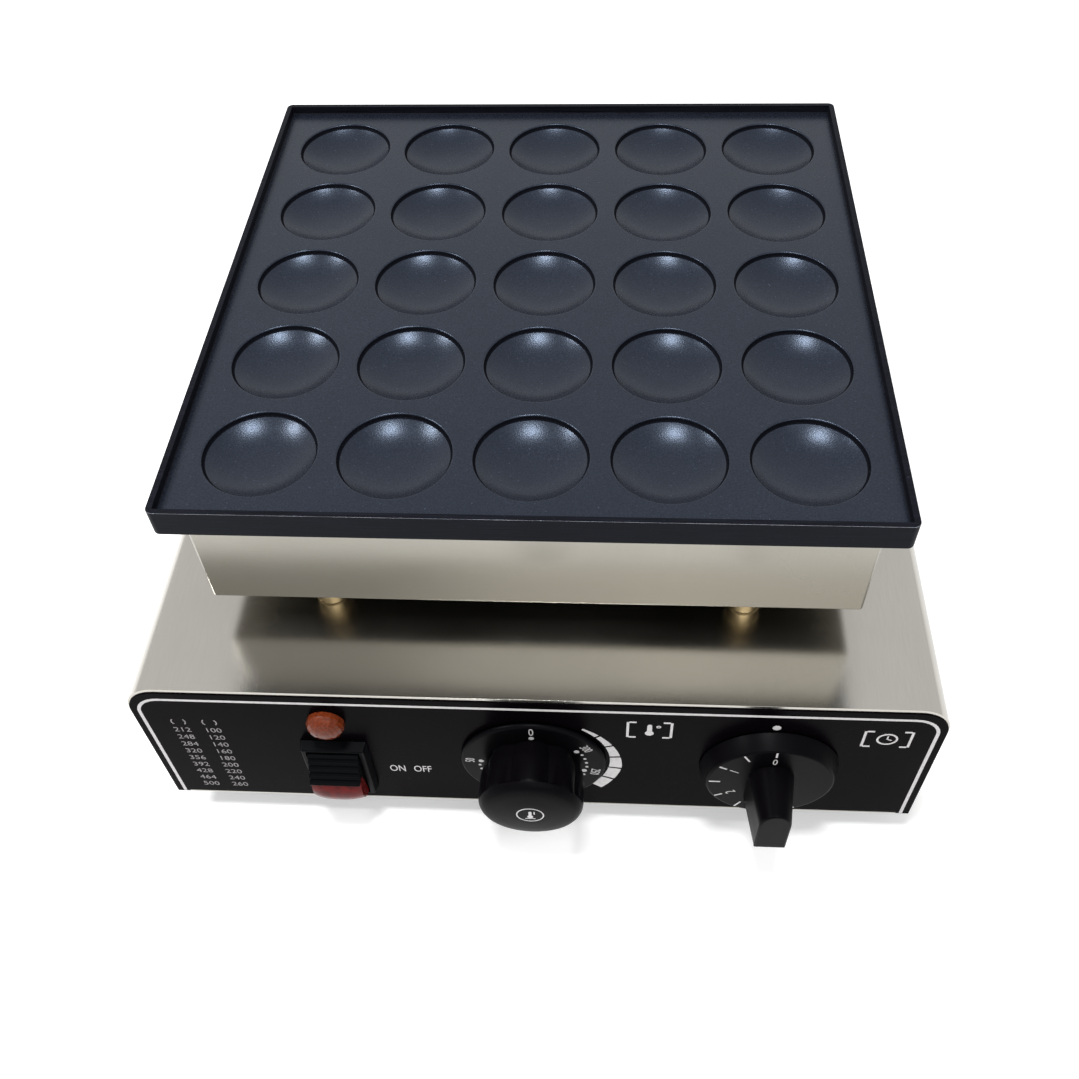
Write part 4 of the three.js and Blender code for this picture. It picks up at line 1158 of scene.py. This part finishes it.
@dataclass
class Print:
    """Thin printed marks, drawn flat on the bench."""

    height: float = 0.00006
    capital: float = 0.7

    def stroke(self, start: Flat, end: Flat, width: float) -> Piece:
        """Draws a straight stroke.

        Args:
            start: Middle of its first end.
            end: Middle of its last end.
            width: Its width.

        Returns:
            The stroke, as a thin solid.
        """
        a, b = Vector(start), Vector(end)
        run = b - a
        side = Vector((-run.y, run.x)).normalized() * width / 2
        return self.field([tuple(a + side), tuple(a - side), tuple(b - side), tuple(b + side)])

    def field(self, points: Sequence[Flat]) -> Piece:
        """Fills an outline."""
        return outline("field", points, 0, self.height)

    def ring(self, radius: float, width: float) -> Piece:
        """Turns a thin ring.

        Args:
            radius: Its outer radius.
            width: Width of its line.

        Returns:
            The ring.
        """
        inner = radius - width
        section = [(inner, 0), (radius, 0), (radius, self.height), (inner, self.height)]
        return turned("ring", section, 40, ring=True)

    def dot(self, radius: float) -> Piece:
        """Turns a dot."""
        return turned("dot", [(radius, 0), (radius, self.height)], 24)

    def words(self, words: str, height: float, width: float = 1.0) -> Piece:
        """Sets plain figures round the origin.

        Args:
            words: The figures.
            height: Height of one figure.
            width: Share of their usual width.

        Returns:
            The figures as one mesh.
        """
        bpy.ops.object.text_add(location=(0, 0, 0))
        text = bpy.context.object.data
        text.body, text.size, text.extrude = words, height / self.capital, self.height / 2
        text.align_x = text.align_y = "CENTER"
        text.resolution_u = 3
        take(bpy.context.object)
        bpy.ops.object.convert(target="MESH")
        piece = named(bpy.context.object, f"figures_{words}")
        piece.scale = (width, 1, 1)
        return close(freeze(piece))


INK = Print()


@dataclass
class ControlPanel:
    """The black front plate and the marks printed on it."""

    half_width: float = 0.17435
    bottom: float = 0.0152
    top: float = 0.1047
    thickness: float = 0.0004
    corner: float = 0.0138
    line: float = 0.0015
    border_side: float = 0.003
    border_top: float = 0.1006
    border_corner: float = 0.0115
    edge_height: float = 0.0009
    edge_round: float = 0.00004
    columns: Flat = (-0.1558, -0.1419)
    rows: int = 9
    row_top: float = BASE_TOP - 0.0324
    row_pitch: float = 0.00637
    coldest: int = 100
    warmer: int = 20
    figure_height: float = 0.0037
    bow_z: float = BASE_TOP - 0.0254
    bow_radii: Flat = (0.0034, 0.0028)
    bracket_arm: float = 0.0036
    bracket_width: float = 0.0011
    bracket_half_height: float = 0.0062
    clock: Flat = (0.1508, BASE_TOP - 0.0231)
    thermometer: Flat = (0.0506, BASE_TOP - 0.021)
    clock_half: float = 0.0098
    heat_half: float = 0.0093
    marker: Flat = (0.1038, BASE_TOP - 0.0162)
    marker_radius: float = 0.0018
    arc_angles: Flat = (38.0, 131.0)
    arc_radii: Flat = (0.0342, 0.0352)
    arc_growth: float = 0.0048
    arc_ramp: float = 60.0
    arc_parts: int = 6
    arc_gap: float = 1.9
    words: tuple[tuple[str, float], ...] = (("ON", -0.063), ("OFF", -0.0515))
    word_height: float = 0.0056
    word_width: float = 0.6
    words_z: float = BASE_TOP - 0.0626

    def plate(self) -> Piece:
        """Shapes the front plate and cuts its holes.

        Returns:
            The plate.
        """
        piece = block("front_plate", (-self.half_width, PANEL_Y, self.bottom),
                      (self.half_width, PANEL_Y + self.thickness, self.top))
        round_edges(piece, self.corner, 10, lambda e: runs_along(e, 1) and level(e, self.top))
        cut(piece, *ControlHoles().tools())
        return smooth(piece, 30)

    def stamp(self, piece: Piece, x: float, z: float) -> Piece:
        """Stands a mark up on the face of the panel."""
        return settle(piece, (x, PANEL_Y, z), Facing.FRONT)

    def arch(self, inset: float) -> list[Flat]:
        """Gives a line of the border, from its lower left to its lower right end.

        Args:
            inset: Distance from the outer line of the border.

        Returns:
            The points of the line.
        """
        half, top = self.half_width - self.border_side - inset, self.border_top - inset
        low, corner = self.bottom + 0.0004, self.border_corner - inset
        return [(-half, low), *arc((-half + corner, top - corner), corner, 180, 90, 8),
                *arc((half - corner, top - corner), corner, 90, 0, 8), (half, low)]

    def lower_edge(self) -> Piece:
        """Adds the bright folded edge along the bottom of the panel.

        Returns:
            The edge.
        """
        half = self.half_width - self.border_side - 2 * self.line
        piece = block("panel_lower_edge", (-half, PANEL_Y - INK.height, self.bottom),
                      (half, PANEL_Y + self.thickness, self.bottom + self.edge_height))
        round_edges(piece, self.edge_round, 1, lambda e: runs_along(e, 0))
        return piece

    def figures(self) -> list[Piece]:
        """Sets two columns of plain temperatures at the left, each under a pair of bows.

        Returns:
            The figures and the bows.
        """
        marks = []
        for row in range(self.rows):
            low = self.coldest + self.warmer * row
            for x, value in zip(self.columns, (low * 9 // 5 + 32, low)):
                words = INK.words(str(value), self.figure_height)
                marks.append(self.stamp(words, x, self.row_top - row * self.row_pitch))
        for x in self.columns:
            for side in (-1, 1):
                outer, inner = (arc((0, 0), radius, 90 - side * 50, 90 - side * 130, 6)
                                for radius in self.bow_radii)
                marks.append(self.stamp(INK.field([*outer, *reversed(inner)]), x, self.bow_z))
        return marks

    def brackets(self, half_width: float) -> list[Piece]:
        """Draws a pair of square brackets.

        Args:
            half_width: Distance of each bracket from the middle.

        Returns:
            The strokes of both brackets.
        """
        width, half_height = self.bracket_width, self.bracket_half_height
        marks = []
        for side in (-1, 1):
            x = side * half_width
            marks.append(INK.stroke((x, -half_height), (x, half_height), width))
            for z in (-half_height, half_height):
                start, end = (x - side * width / 2, z), (x - side * self.bracket_arm, z)
                marks.append(INK.stroke(start, end, width))
        return marks

    def clock_sign(self) -> list[Piece]:
        """Draws a plain clock between brackets.

        Returns:
            The parts of the sign.
        """
        marks = [*self.brackets(self.clock_half), INK.ring(0.0045, 0.0009),
                 INK.stroke((0, -0.0002), (0, 0.0026), 0.0006),
                 INK.stroke((0, 0), (0.002, -0.0008), 0.0006)]
        return [self.stamp(mark, *self.clock) for mark in marks]

    def heat_sign(self) -> list[Piece]:
        """Draws a plain thermometer with a degree ring between brackets.

        Returns:
            The parts of the sign.
        """
        bulb = [*arc((0, -0.0027), 0.0019, 125, 415, 14), *arc((0, 0.0035), 0.001, 0, 180, 6)]
        marks = [*self.brackets(self.heat_half), INK.field(bulb),
                 settle(INK.ring(0.001, 0.0005), (0.0038, 0.0028, 0))]
        return [self.stamp(mark, *self.thermometer) for mark in marks]

    def heat_arc(self) -> list[Piece]:
        """Draws the arc round the temperature dial, wider towards its end, in parts.

        Returns:
            The parts of the arc.
        """
        start, end = self.arc_angles
        span = (end - start) / self.arc_parts
        marks = []
        for part in range(self.arc_parts):
            low = start + part * span + self.arc_gap / 2
            high = start + (part + 1) * span - self.arc_gap / 2
            angles = [low + (high - low) * i / 6 for i in range(7)]
            growth = [self.arc_growth * min((a - start) / self.arc_ramp, 1) for a in angles]
            outer = [clockwise(self.arc_radii[1] + more, a) for more, a in zip(growth, angles)]
            inner = [clockwise(self.arc_radii[0], a) for a in reversed(angles)]
            marks.append(INK.field([*outer, *inner]))
        return [self.stamp(mark, 0, DIAL_Z) for mark in marks]

    def switch_words(self) -> list[Piece]:
        """Sets the two words beside the switch."""
        return [self.stamp(INK.words(text, self.word_height, self.word_width), x, self.words_z)
                for text, x in self.words]

    def build(self) -> None:
        """Builds the panel and its print, with a plain ON and OFF beside the switch."""
        fit(self.plate(), "root", "panel_enamel", ["control_panel"])
        border = [self.stamp(INK.field([*self.arch(0), *reversed(self.arch(self.line))]), 0, 0)]
        fit(joined("panel_border", border), "root", "white_print")
        fit(self.lower_edge(), "root", "cover_steel")
        fit(joined("panel_figures", self.figures()), "root", "grey_print")
        prints = {"clock_sign": self.clock_sign(), "heat_sign": self.heat_sign(),
                  "heat_arc": self.heat_arc(), "switch_words": self.switch_words(),
                  "timer_marker": [self.stamp(INK.dot(self.marker_radius), *self.marker)]}
        for name, marks in prints.items():
            fit(joined(name, marks), "root", "white_print")


@dataclass
class Dial:
    """What both knobs share: their place, their reach and the hollow behind them."""

    x: float = 0.0
    reach: float = 0.0274
    lift: float = 0.0007
    well: float = 0.01
    well_top: float = 0.0047
    bore: float = 0.0033
    cap: float = 0.006
    body: str = "temperature_dial"
    node: str = "temperature_knob"

    def mount(self, name: str, parts: Sequence[Piece]) -> None:
        """Joins the parts of the knob, stands them up and fits them."""
        knob = settle(joined(name, parts), (self.x, PANEL_Y, DIAL_Z), Facing.FRONT)
        fit(knob, self.body, "knob_black", [self.node])

    def mark(self, name: str, marks: Sequence[Piece], reach: float) -> None:
        """Joins marks that turn with the knob, and lays them on a face of it."""
        marking = settle(joined(name, marks), (self.x, PANEL_Y - reach, DIAL_Z), Facing.FRONT)
        fit(marking, self.body, "white_print")


@dataclass
class TemperatureKnob(Dial):
    """The fluted knob with its skirt and its scale."""

    skirt_top: float = 0.003
    skirt_section: tuple[Flat, ...] = (
        (0.0178, 0.0007), (0.0321, 0.0007), (0.0324, 0.0011), (0.0324, 0.0018), (0.032, 0.0025),
        (0.031, 0.003), (0.0178, 0.003),
    )
    grip_radius: float = 0.023
    sides: int = 96
    lobes: int = 8
    flute: float = 0.0023
    shoulder: float = 0.0216
    side: tuple[Flat, ...] = (
        (0.0208, 0.0007), (0.0212, 0.0042), (0.0226, 0.0075), (0.023, 0.011), (0.023, 0.0216),
    )
    dome: tuple[Flat, ...] = (
        (0.0227, 0.0229), (0.0219, 0.0243), (0.0207, 0.0255), (0.0189, 0.0262), (0.015, 0.0267),
        (0.0102, 0.0272), (0.007, 0.0274), (0.001, 0.0274),
    )
    labels: tuple[int, ...] = (300, 250, 200, 150, 100, 50)
    first_label: float = 57.0
    label_step: float = 43.5
    label_radius: float = 0.028
    figure_heights: Flat = (0.0042, 0.0056)
    figure_width: float = 0.6
    dot_radius: float = 0.0232
    dot_size: float = 0.0012
    small_dots: int = 4
    small_dot_radius: float = 0.024
    small_dot_size: float = 0.0007

    def from_lobe(self, vertex: bmesh.types.BMVert) -> float:
        """Gives the angle between a vertex and the middle of the nearest lobe.

        Args:
            vertex: A vertex of the grip.

        Returns:
            The angle in degrees.
        """
        lobe = 360 / self.lobes
        angle = math.degrees(math.atan2(vertex.co.y, vertex.co.x)) % lobe
        return min(angle, lobe - angle)

    def is_side(self, vertex: bmesh.types.BMVert) -> bool:
        """Tells whether a vertex lies on the outer side, below the shoulder."""
        return vertex.co.xy.length >= self.grip_radius * 0.7 and vertex.co.z <= self.shoulder + NEAR

    def grip(self) -> Piece:
        """Turns the grip and pulls its sides in between the lobes.

        Returns:
            The grip.
        """
        piece = turned("grip", [
            (self.bore, self.reach - self.cap), (self.bore, self.well_top),
            (self.well, self.well_top), (self.well, self.lift), *self.side, *self.dome,
        ], self.sides)
        with shaping(piece):
            for place in range(1, self.sides // self.lobes // 2 + 1):
                offset = place * 360 / self.sides
                wave = abs(math.cos(math.radians(offset * self.lobes / 2)))
                share = 1 - self.flute / self.grip_radius * (1 - wave)
                pick(piece, Kind.VERTEX,
                     lambda v: self.is_side(v) and abs(self.from_lobe(v) - offset) < 0.5)
                stretch(share, share, (0, 0, 0))
        return smooth(piece, 30, weighted=False)

    def skirt(self) -> Piece:
        """Turns the thin skirt round the foot of the grip."""
        return smooth(turned("skirt", self.skirt_section, self.sides, ring=True))

    def scale(self) -> list[Piece]:
        """Prints the figures and the dots on the skirt.

        Returns:
            The figures and the dots.
        """
        angles = [self.first_label + i * self.label_step for i in range(len(self.labels))]
        marks = []
        for value, angle in zip((0, *self.labels), (0.0, *angles)):
            words = INK.words(str(value), self.figure_heights[value == 0], self.figure_width)
            settle(words, (0, 0, 0), spin=angle)
            marks.append(settle(words, (*clockwise(self.label_radius, angle), 0)))
            marks.append(settle(INK.dot(self.dot_size), (*clockwise(self.dot_radius, angle), 0)))
        for start in angles[:-1]:
            for i in range(1, self.small_dots + 1):
                angle = start + self.label_step * i / (self.small_dots + 1)
                place = (*clockwise(self.small_dot_radius, angle), 0)
                marks.append(settle(INK.dot(self.small_dot_size), place))
        return marks

    def end_sign(self) -> list[Piece]:
        """Prints a ring with a plain thermometer on the end of the knob.

        Returns:
            The parts of the sign.
        """
        bulb = [*arc((0, -0.0017), 0.0013, 120, 420, 12), *arc((0, 0.0024), 0.0007, 0, 180, 6)]
        return [INK.ring(0.0061, 0.00055), INK.field(bulb),
                INK.stroke((0.0018, 0.0006), (0.0018, 0.003), 0.0005),
                INK.stroke((-0.0022, -0.0034), (0.0022, -0.0034), 0.0005)]

    def build(self) -> None:
        """Builds the knob and its print."""
        self.mount("fluted_knob", [self.grip(), self.skirt()])
        self.mark("temperature_figures", self.scale(), self.skirt_top)
        self.mark("knob_sign", self.end_sign(), self.reach)


@dataclass
class TimerKnob(Dial):
    """The knob with a conical skirt and a bar grip."""

    x: float = TIMER_X
    reach: float = 0.0315
    body: str = "timer_dial"
    node: str = "timer_knob"
    face: float = 0.0086
    side: tuple[Flat, ...] = (
        (0.0304, 0.0007), (0.0304, 0.0012), (0.0278, 0.0079), (0.0272, 0.0084), (0.0265, 0.0086),
    )
    bar_top: float = 0.015
    bar_drop: float = 0.016
    bar_root: float = 0.02
    bar_end: float = 0.0136
    end_round: float = 0.0009
    side_round: float = 0.0012
    stroke_count: int = 8
    stroke_step: float = 30.0
    stroke_starts: Flat = (0.0228, 0.0216)
    stroke_end: float = 0.0266
    stroke_width: float = 0.0008
    figure_radius: float = 0.0186
    figure_height: float = 0.0046
    figure_width: float = 0.7

    def skirt(self) -> Piece:
        """Turns the conical skirt.

        Returns:
            The skirt.
        """
        piece = turned("timer_skirt", [
            (self.well, self.lift), *self.side, (self.bore, self.face), (self.bore, self.well_top),
            (self.well, self.well_top),
        ], 96, ring=True)
        return smooth(piece)

    def bar(self) -> Piece:
        """Shapes the tapered bar with its round upper end.

        Returns:
            The bar.
        """
        half, drop, reach = self.bar_root / 2, self.bar_drop, self.reach
        plan = [(-half, -drop), (half, -drop), *arc((0, self.bar_top - half), half, 0, 180, 16)]
        piece = outline("timer_bar", plan, self.face - 0.001, reach)
        with shaping(piece):
            pick(piece, Kind.FACE, lambda f: level(f, reach))
            stretch(self.bar_end / self.bar_root, 0.96, (0, -drop, reach))
        round_edges(piece, self.end_round, 4, lambda e: level(e, reach))
        round_edges(piece, self.side_round, 4, lambda e: middle(e).y < -drop + NEAR
                    and abs(e.verts[0].co.z - e.verts[1].co.z) > 0.01)
        cut(piece, turned("bore", [(self.bore, 0.004), (self.bore, reach - self.cap)], 24))
        return smooth(piece)

    def scale(self) -> list[Piece]:
        """Prints the strokes, and a figure at every second one.

        Returns:
            The strokes and the figures.
        """
        marks = []
        for i in range(self.stroke_count):
            angle = -self.stroke_step * i
            start = clockwise(self.stroke_starts[i % 2], angle)
            end = clockwise(self.stroke_end, angle)
            marks.append(INK.stroke(start, end, self.stroke_width))
            if i % 2 == 0:
                words = INK.words(str(i // 2), self.figure_height, self.figure_width)
                settle(words, (0, 0, 0), spin=angle)
                marks.append(settle(words, (*clockwise(self.figure_radius, angle), 0)))
        return marks

    def build(self) -> None:
        """Builds the knob and its print."""
        self.mount("bar_knob", [self.skirt(), self.bar()])
        self.mark("timer_figures", self.scale(), self.face)


@dataclass
class RockerSwitch:
    """The framed switch with a ribbed cap and a red lens."""

    width: float = 0.03
    height: float = 0.0412
    back: float = 0.0003
    frame_reach: float = 0.0052
    frame_round: float = 0.0007
    draft: float = 0.001
    window_width: float = 0.0238
    window_height: float = 0.037
    window_depth: float = 0.0095
    window_round: float = 0.0003
    body_inset: float = 0.0014
    body_depth: float = 0.026
    rocker_width: float = 0.0228
    rocker_radius: float = 0.018
    rocker_round: float = 0.00025
    pivot: float = 0.001
    crown: float = 0.0017
    crown_parts: int = 5
    crown_foot: float = 0.0056
    rib_count: int = 5
    rib_height: float = 0.0009
    rib_foot: Flat = (0.0026, 0.012)
    rib_top: Flat = (0.0177, 0.0028)
    cap_back: tuple[Flat, ...] = (
        (-0.0177, -0.003), (-0.0179, 0.0028), (-0.0088, 0.0044), (0.0026, 0.0072),
    )
    lens_side: tuple[Flat, ...] = (
        (0.0023, 0.0076), (-0.0089, 0.0047), (-0.0176, 0.0033), (-0.017, 0.0058),
        (-0.0156, 0.0082), (-0.0131, 0.0107), (-0.0098, 0.0125), (-0.0058, 0.0133),
        (-0.0021, 0.0131), (0.0005, 0.0125), (0.0023, 0.0119),
    )

    def housing(self) -> Piece:
        """Shapes the frame, its window and the body behind the panel.

        Returns:
            The housing.
        """
        w, h, r = self.width / 2, self.height / 2, self.frame_reach
        piece = block("switch_frame", (-w, -h, self.back), (w, h, r))
        with shaping(piece):
            pick(piece, Kind.FACE, lambda f: level(f, r))
            stretch(1 - self.draft / w, 1 - self.draft / h, (0, 0, r))
        sink(piece, lambda f: level(f, self.back), self.body_inset, self.body_depth)
        round_edges(piece, self.frame_round, 3, lambda e: level(e, r)
                    or abs(middle(e).z - r / 2) < 0.002 and not level(e, self.back))
        half_width, half_height = self.window_width / 2, self.window_height / 2
        cut(piece, block("window", (-half_width, -half_height, -self.window_depth),
                         (half_width, half_height, r + 0.002)))
        round_edges(piece, self.window_round, 2, lambda e: level(e, r)
                    and abs(middle(e).x) < half_width + NEAR
                    and abs(middle(e).y) < half_height + NEAR)
        return smooth(piece)

    def across(self, name: str, side_view: Sequence[Flat]) -> Piece:
        """Pulls a side view to a solid that runs across the switch."""
        half = self.rocker_width / 2
        return settle(outline(name, side_view, -half, half), (0, 0, 0), Facing.ACROSS)

    def cap(self) -> Piece:
        """Shapes the cap with its ribs, from its side view: up the switch, and out of it.

        Returns:
            The cap.
        """
        foot = Vector(self.rib_foot)
        step = (Vector(self.rib_top) - foot) / self.rib_count
        out = Vector((-step.y, step.x)).normalized() * self.rib_height
        ribs = [tuple(foot + step * (i + along) + out * height) for i in range(self.rib_count)
                for along, height in ((0, 0.2), (0.15, 1), (0.55, 1), (0.75, -0.2), (0.95, -0.2))]
        front = arc((0, 0), self.rocker_radius, 8, -9.6, 4)
        piece = self.across("ribbed_cap", [*ribs, self.rib_top, *front, *self.cap_back])
        round_edges(piece, self.rocker_round, 2,
                    lambda e: not runs_along(e, 0) and middle(e).z > 0.002)
        return smooth(piece, 30)

    def lens(self) -> Piece:
        """Shapes the lens and crowns it across its width.

        Returns:
            The lens.
        """
        piece = self.across("rocker_window", self.lens_side)
        with shaping(piece):
            pick(piece, Kind.EDGE, lambda e: runs_along(e, 0))
            bpy.ops.mesh.subdivide(number_cuts=2 * self.crown_parts - 1)
            for place in range(1, self.crown_parts + 1):
                share = place / self.crown_parts
                pick(piece, Kind.VERTEX, lambda v: v.co.z > self.crown_foot
                     and abs(abs(v.co.x) - self.rocker_width / 2 * share) < NEAR)
                bpy.ops.transform.translate(value=(0, 0, -self.crown * share**3))
        return smooth(piece, 50)

    def build(self) -> None:
        """Builds the switch."""
        place, pivot = (SWITCH_X, PANEL_Y, SWITCH_Z), (SWITCH_X, PANEL_Y - self.pivot, SWITCH_Z)
        for piece, where, body, finish, slot, node in (
            (self.housing(), place, "root", "switch_black", "black_plastic", "switch_housing"),
            (self.cap(), pivot, "rocker", "switch_black", "black_plastic", "rocker_cap"),
            (self.lens(), pivot, "rocker", "red_tint", "red_lens", "rocker_lens"),
        ):
            fit(settle(piece, where, Facing.FRONT), body, finish, [node])


@dataclass
class IndicatorLamp:
    """The lamp with its faceted lens."""

    facets: int = 14
    edge: float = 0.00012
    profile: tuple[Flat, ...] = (
        (0.004, -0.001), (0.004, 0.0016), (0.0081, 0.0016), (0.0081, 0.0003), (0.0083, 0.0003),
        (0.0083, 0.0028), (0.0075, 0.0047), (0.006, 0.0061), (0.0036, 0.007), (0.0008, 0.0073),
    )

    def build(self) -> None:
        """Turns the lens with flat facets."""
        lens = turned("faceted_lens", self.profile, self.facets)
        round_edges(lens, self.edge, 2, lambda e: True)
        settle(lens, (SWITCH_X, PANEL_Y, LAMP_Z), Facing.FRONT)
        fit(lens, "root", "orange_tint", ["lamp_lens"])


@dataclass
class CordEntry:
    """The gland in the rear panel."""

    flats: float = 0.022
    bore: float = 0.0045
    nose: tuple[Flat, ...] = (
        (0.0095, 0.0051), (0.0095, 0.0125), (0.0092, 0.0135), (0.0082, 0.0152), (0.0072, 0.0168),
        (0.0063, 0.0178), (0.0058, 0.018),
    )
    thread: tuple[Flat, ...] = ((0.0078, -0.012), (0.008, -0.0116), (0.008, 0.0004))
    rib_count: int = 16
    rib_low: Point = (0.0093, -0.0005, 0.0062)
    rib_high: Point = (0.00985, 0.0005, 0.0122)

    def bored(self, name: str, profile: Sequence[Flat], sides: int) -> Piece:
        """Turns a part of the gland round its bore."""
        ends = (self.bore, profile[0][1]), (self.bore, profile[-1][1])
        return turned(name, [ends[0], *profile, ends[1]], sides, ring=True)

    def build(self) -> None:
        """Builds the hexagon, the ribbed cap and the thread behind the panel."""
        corner = self.flats / math.sqrt(3)
        hexagon = self.bored("gland_hexagon", [(corner - 0.0004, 0.0003), (corner, 0.0007),
                                               (corner, 0.0048), (corner - 0.0004, 0.0053)], 6)
        nose = self.bored("gland_cap", self.nose, 48)
        thread = self.bored("gland_thread", self.thread, 32)
        ribs = [settle(block("rib", self.rib_low, self.rib_high), (0, 0, 0),
                       spin=360 / self.rib_count * i) for i in range(self.rib_count)]
        for piece in (nose, thread):
            smooth(piece)
        gland = joined("ribbed_gland", [hexagon, nose, thread, *ribs])
        settle(gland, (GLAND_X, BASE_BACK, GLAND_Z), Facing.BACK)
        fit(gland, "root", "switch_black", ["cord_gland"])


@dataclass
class InnerParts:
    """The CAD nodes that stay as they are and only get a finish."""

    finishes: tuple[tuple[str, tuple[str, ...]], ...] = (
        ("sheath_metal", ("heating_element",)),
        ("rolled_aluminium", ("element_clamp_plate",)),
        ("fibre_felt", ("insulation_blanket",)),
        ("drawn_copper", ("thermostat_bulb", "capillary_tube")),
        ("red_sleeve", ("thermostat_lead", "supply_lead")),
        ("blue_sleeve", ("neutral_lead",)),
        ("pale_moulding", ("terminal_block", "thermostat_body", "timer_body")),
        ("switch_black", ("lamp_body", "gland_nut")),
    )

    def build(self) -> None:
        """Dresses every CAD node that is still shown."""
        chosen = {name: finish for finish, names in self.finishes for name in names}
        for name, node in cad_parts.items():
            if not node.hide_render:
                dress(node, chosen.get(name, "plain_steel"))
                LOG.info("%s dressed", name)


@dataclass
class Studio:
    """The floor, the lamps, the backdrop and the camera."""

    lens: float = 37.888
    sensor: float = 36.0
    shift: Flat = (0.000863, 0.000667)
    place: Point = (0.02956, -0.41405, 0.5138)
    turn: Point = (0.6842762, 0.0323507, 0.0510794)
    fill: float = 0.45
    floor_side: float = 8.0
    floor_shade: float = 0.9
    floor_glow: float = 0.25
    lamps: tuple[tuple[str, Point, Point, float, float], ...] = (
        ("overhead", (-0.03, -0.3, 1.45), (0, 0, 0.15), 0.25, 13),
        ("left_soft", (-1.2, -0.15, 1.35), (0, 0, 0.15), 0.3, 17),
        ("front_soft", (0.45, -1.3, 1.45), (0, 0, 0.1), 1.4, 10),
    )

    def camera(self) -> None:
        """Places the camera where the photograph was taken from."""
        data = bpy.data.cameras.new("camera")
        data.lens, data.sensor_width, data.sensor_fit = self.lens, self.sensor, "HORIZONTAL"
        data.shift_x, data.shift_y = self.shift
        data.clip_start, data.clip_end = 0.01, 50
        camera = bpy.data.objects.new("camera", data)
        bpy.context.scene.collection.objects.link(camera)
        camera.location, camera.rotation_euler = self.place, self.turn
        bpy.context.scene.camera = camera

    def lamp(self, name: str, place: Point, aim: Point, size: float, power: float) -> None:
        """Adds one soft lamp.

        Args:
            name: Name of the lamp.
            place: Where it hangs.
            aim: The point that it shines at.
            size: Side of its square face.
            power: Its power in watts.
        """
        data = bpy.data.lights.new(name, "AREA")
        data.shape, data.size, data.energy = "SQUARE", size, power
        lamp = bpy.data.objects.new(name, data)
        bpy.context.scene.collection.objects.link(lamp)
        lamp.location = place
        lamp.rotation_euler = (Vector(aim) - Vector(place)).to_track_quat("-Z", "Y").to_euler()

    def seen_rays(self, tree: bpy.types.NodeTree) -> bpy.types.NodeSocket:
        """Gives 1 for camera, glossy and transmission rays, and 0 for the rest.

        Args:
            tree: The nodes that the value is made in.

        Returns:
            The value.
        """
        path = tree.nodes.new("ShaderNodeLightPath")
        total = path.outputs["Is Camera Ray"]
        for name in ("Is Glossy Ray", "Is Transmission Ray"):
            node = tree.nodes.new("ShaderNodeMath")
            node.operation = "MAXIMUM"
            tree.links.new(total, node.inputs[0])
            tree.links.new(path.outputs[name], node.inputs[1])
            total = node.outputs["Value"]
        return total

    def backdrop(self) -> None:
        """Makes the world white where it is seen, and a plain fill light elsewhere."""
        world = bpy.data.worlds.new("backdrop")
        bpy.context.scene.world = world
        world.use_nodes = True
        tree = world.node_tree
        light = next(n for n in tree.nodes if n.type == "BACKGROUND")
        strength = tree.nodes.new("ShaderNodeMapRange")
        strength.inputs["To Min"].default_value = self.fill
        tree.links.new(self.seen_rays(tree), strength.inputs["Value"])
        tree.links.new(strength.outputs["Result"], light.inputs["Strength"])
        light.inputs["Color"].default_value = (1, 1, 1, 1)

    def floor(self) -> None:
        """Lays the pale floor, which keeps a soft shadow."""
        bpy.ops.mesh.primitive_plane_add(size=self.floor_side, location=(0, 0, 0))
        floor = named(bpy.context.object, "floor")
        recipe = Recipe("pale_floor")
        lift = recipe.tree.nodes.new("ShaderNodeMath")
        lift.operation = "MULTIPLY"
        lift.inputs[1].default_value = self.floor_glow
        recipe.tree.links.new(self.seen_rays(recipe.tree), lift.inputs[0])
        floor.data.materials.append(recipe.finish(
            Base_Color=(self.floor_shade,) * 3 + (1,), Roughness=1.0, Specular_IOR_Level=0.0,
            Emission_Color=(1, 1, 1, 1), Emission_Strength=lift.outputs["Value"],
        ))

    def build(self) -> None:
        """Builds the studio."""
        self.floor()
        self.backdrop()
        for lamp in self.lamps:
            self.lamp(*lamp)
        self.camera()
        bpy.context.scene.view_settings.view_transform = "Standard"


def main() -> None:
    """Builds every sub-assembly in order."""
    logging.basicConfig(level=logging.INFO, format="%(name)s: %(message)s")
    assemblies = [CastPlate(), HeadCasing(), BaseCase(), ControlPanel(), TemperatureKnob(),
                  TimerKnob(), RockerSwitch(), IndicatorLamp(), CordEntry(), InnerParts()]
    for assembly in assemblies:
        assembly.build()
    Studio().build()
    bpy.context.view_layer.update()


if __name__ == "__main__":
    main()
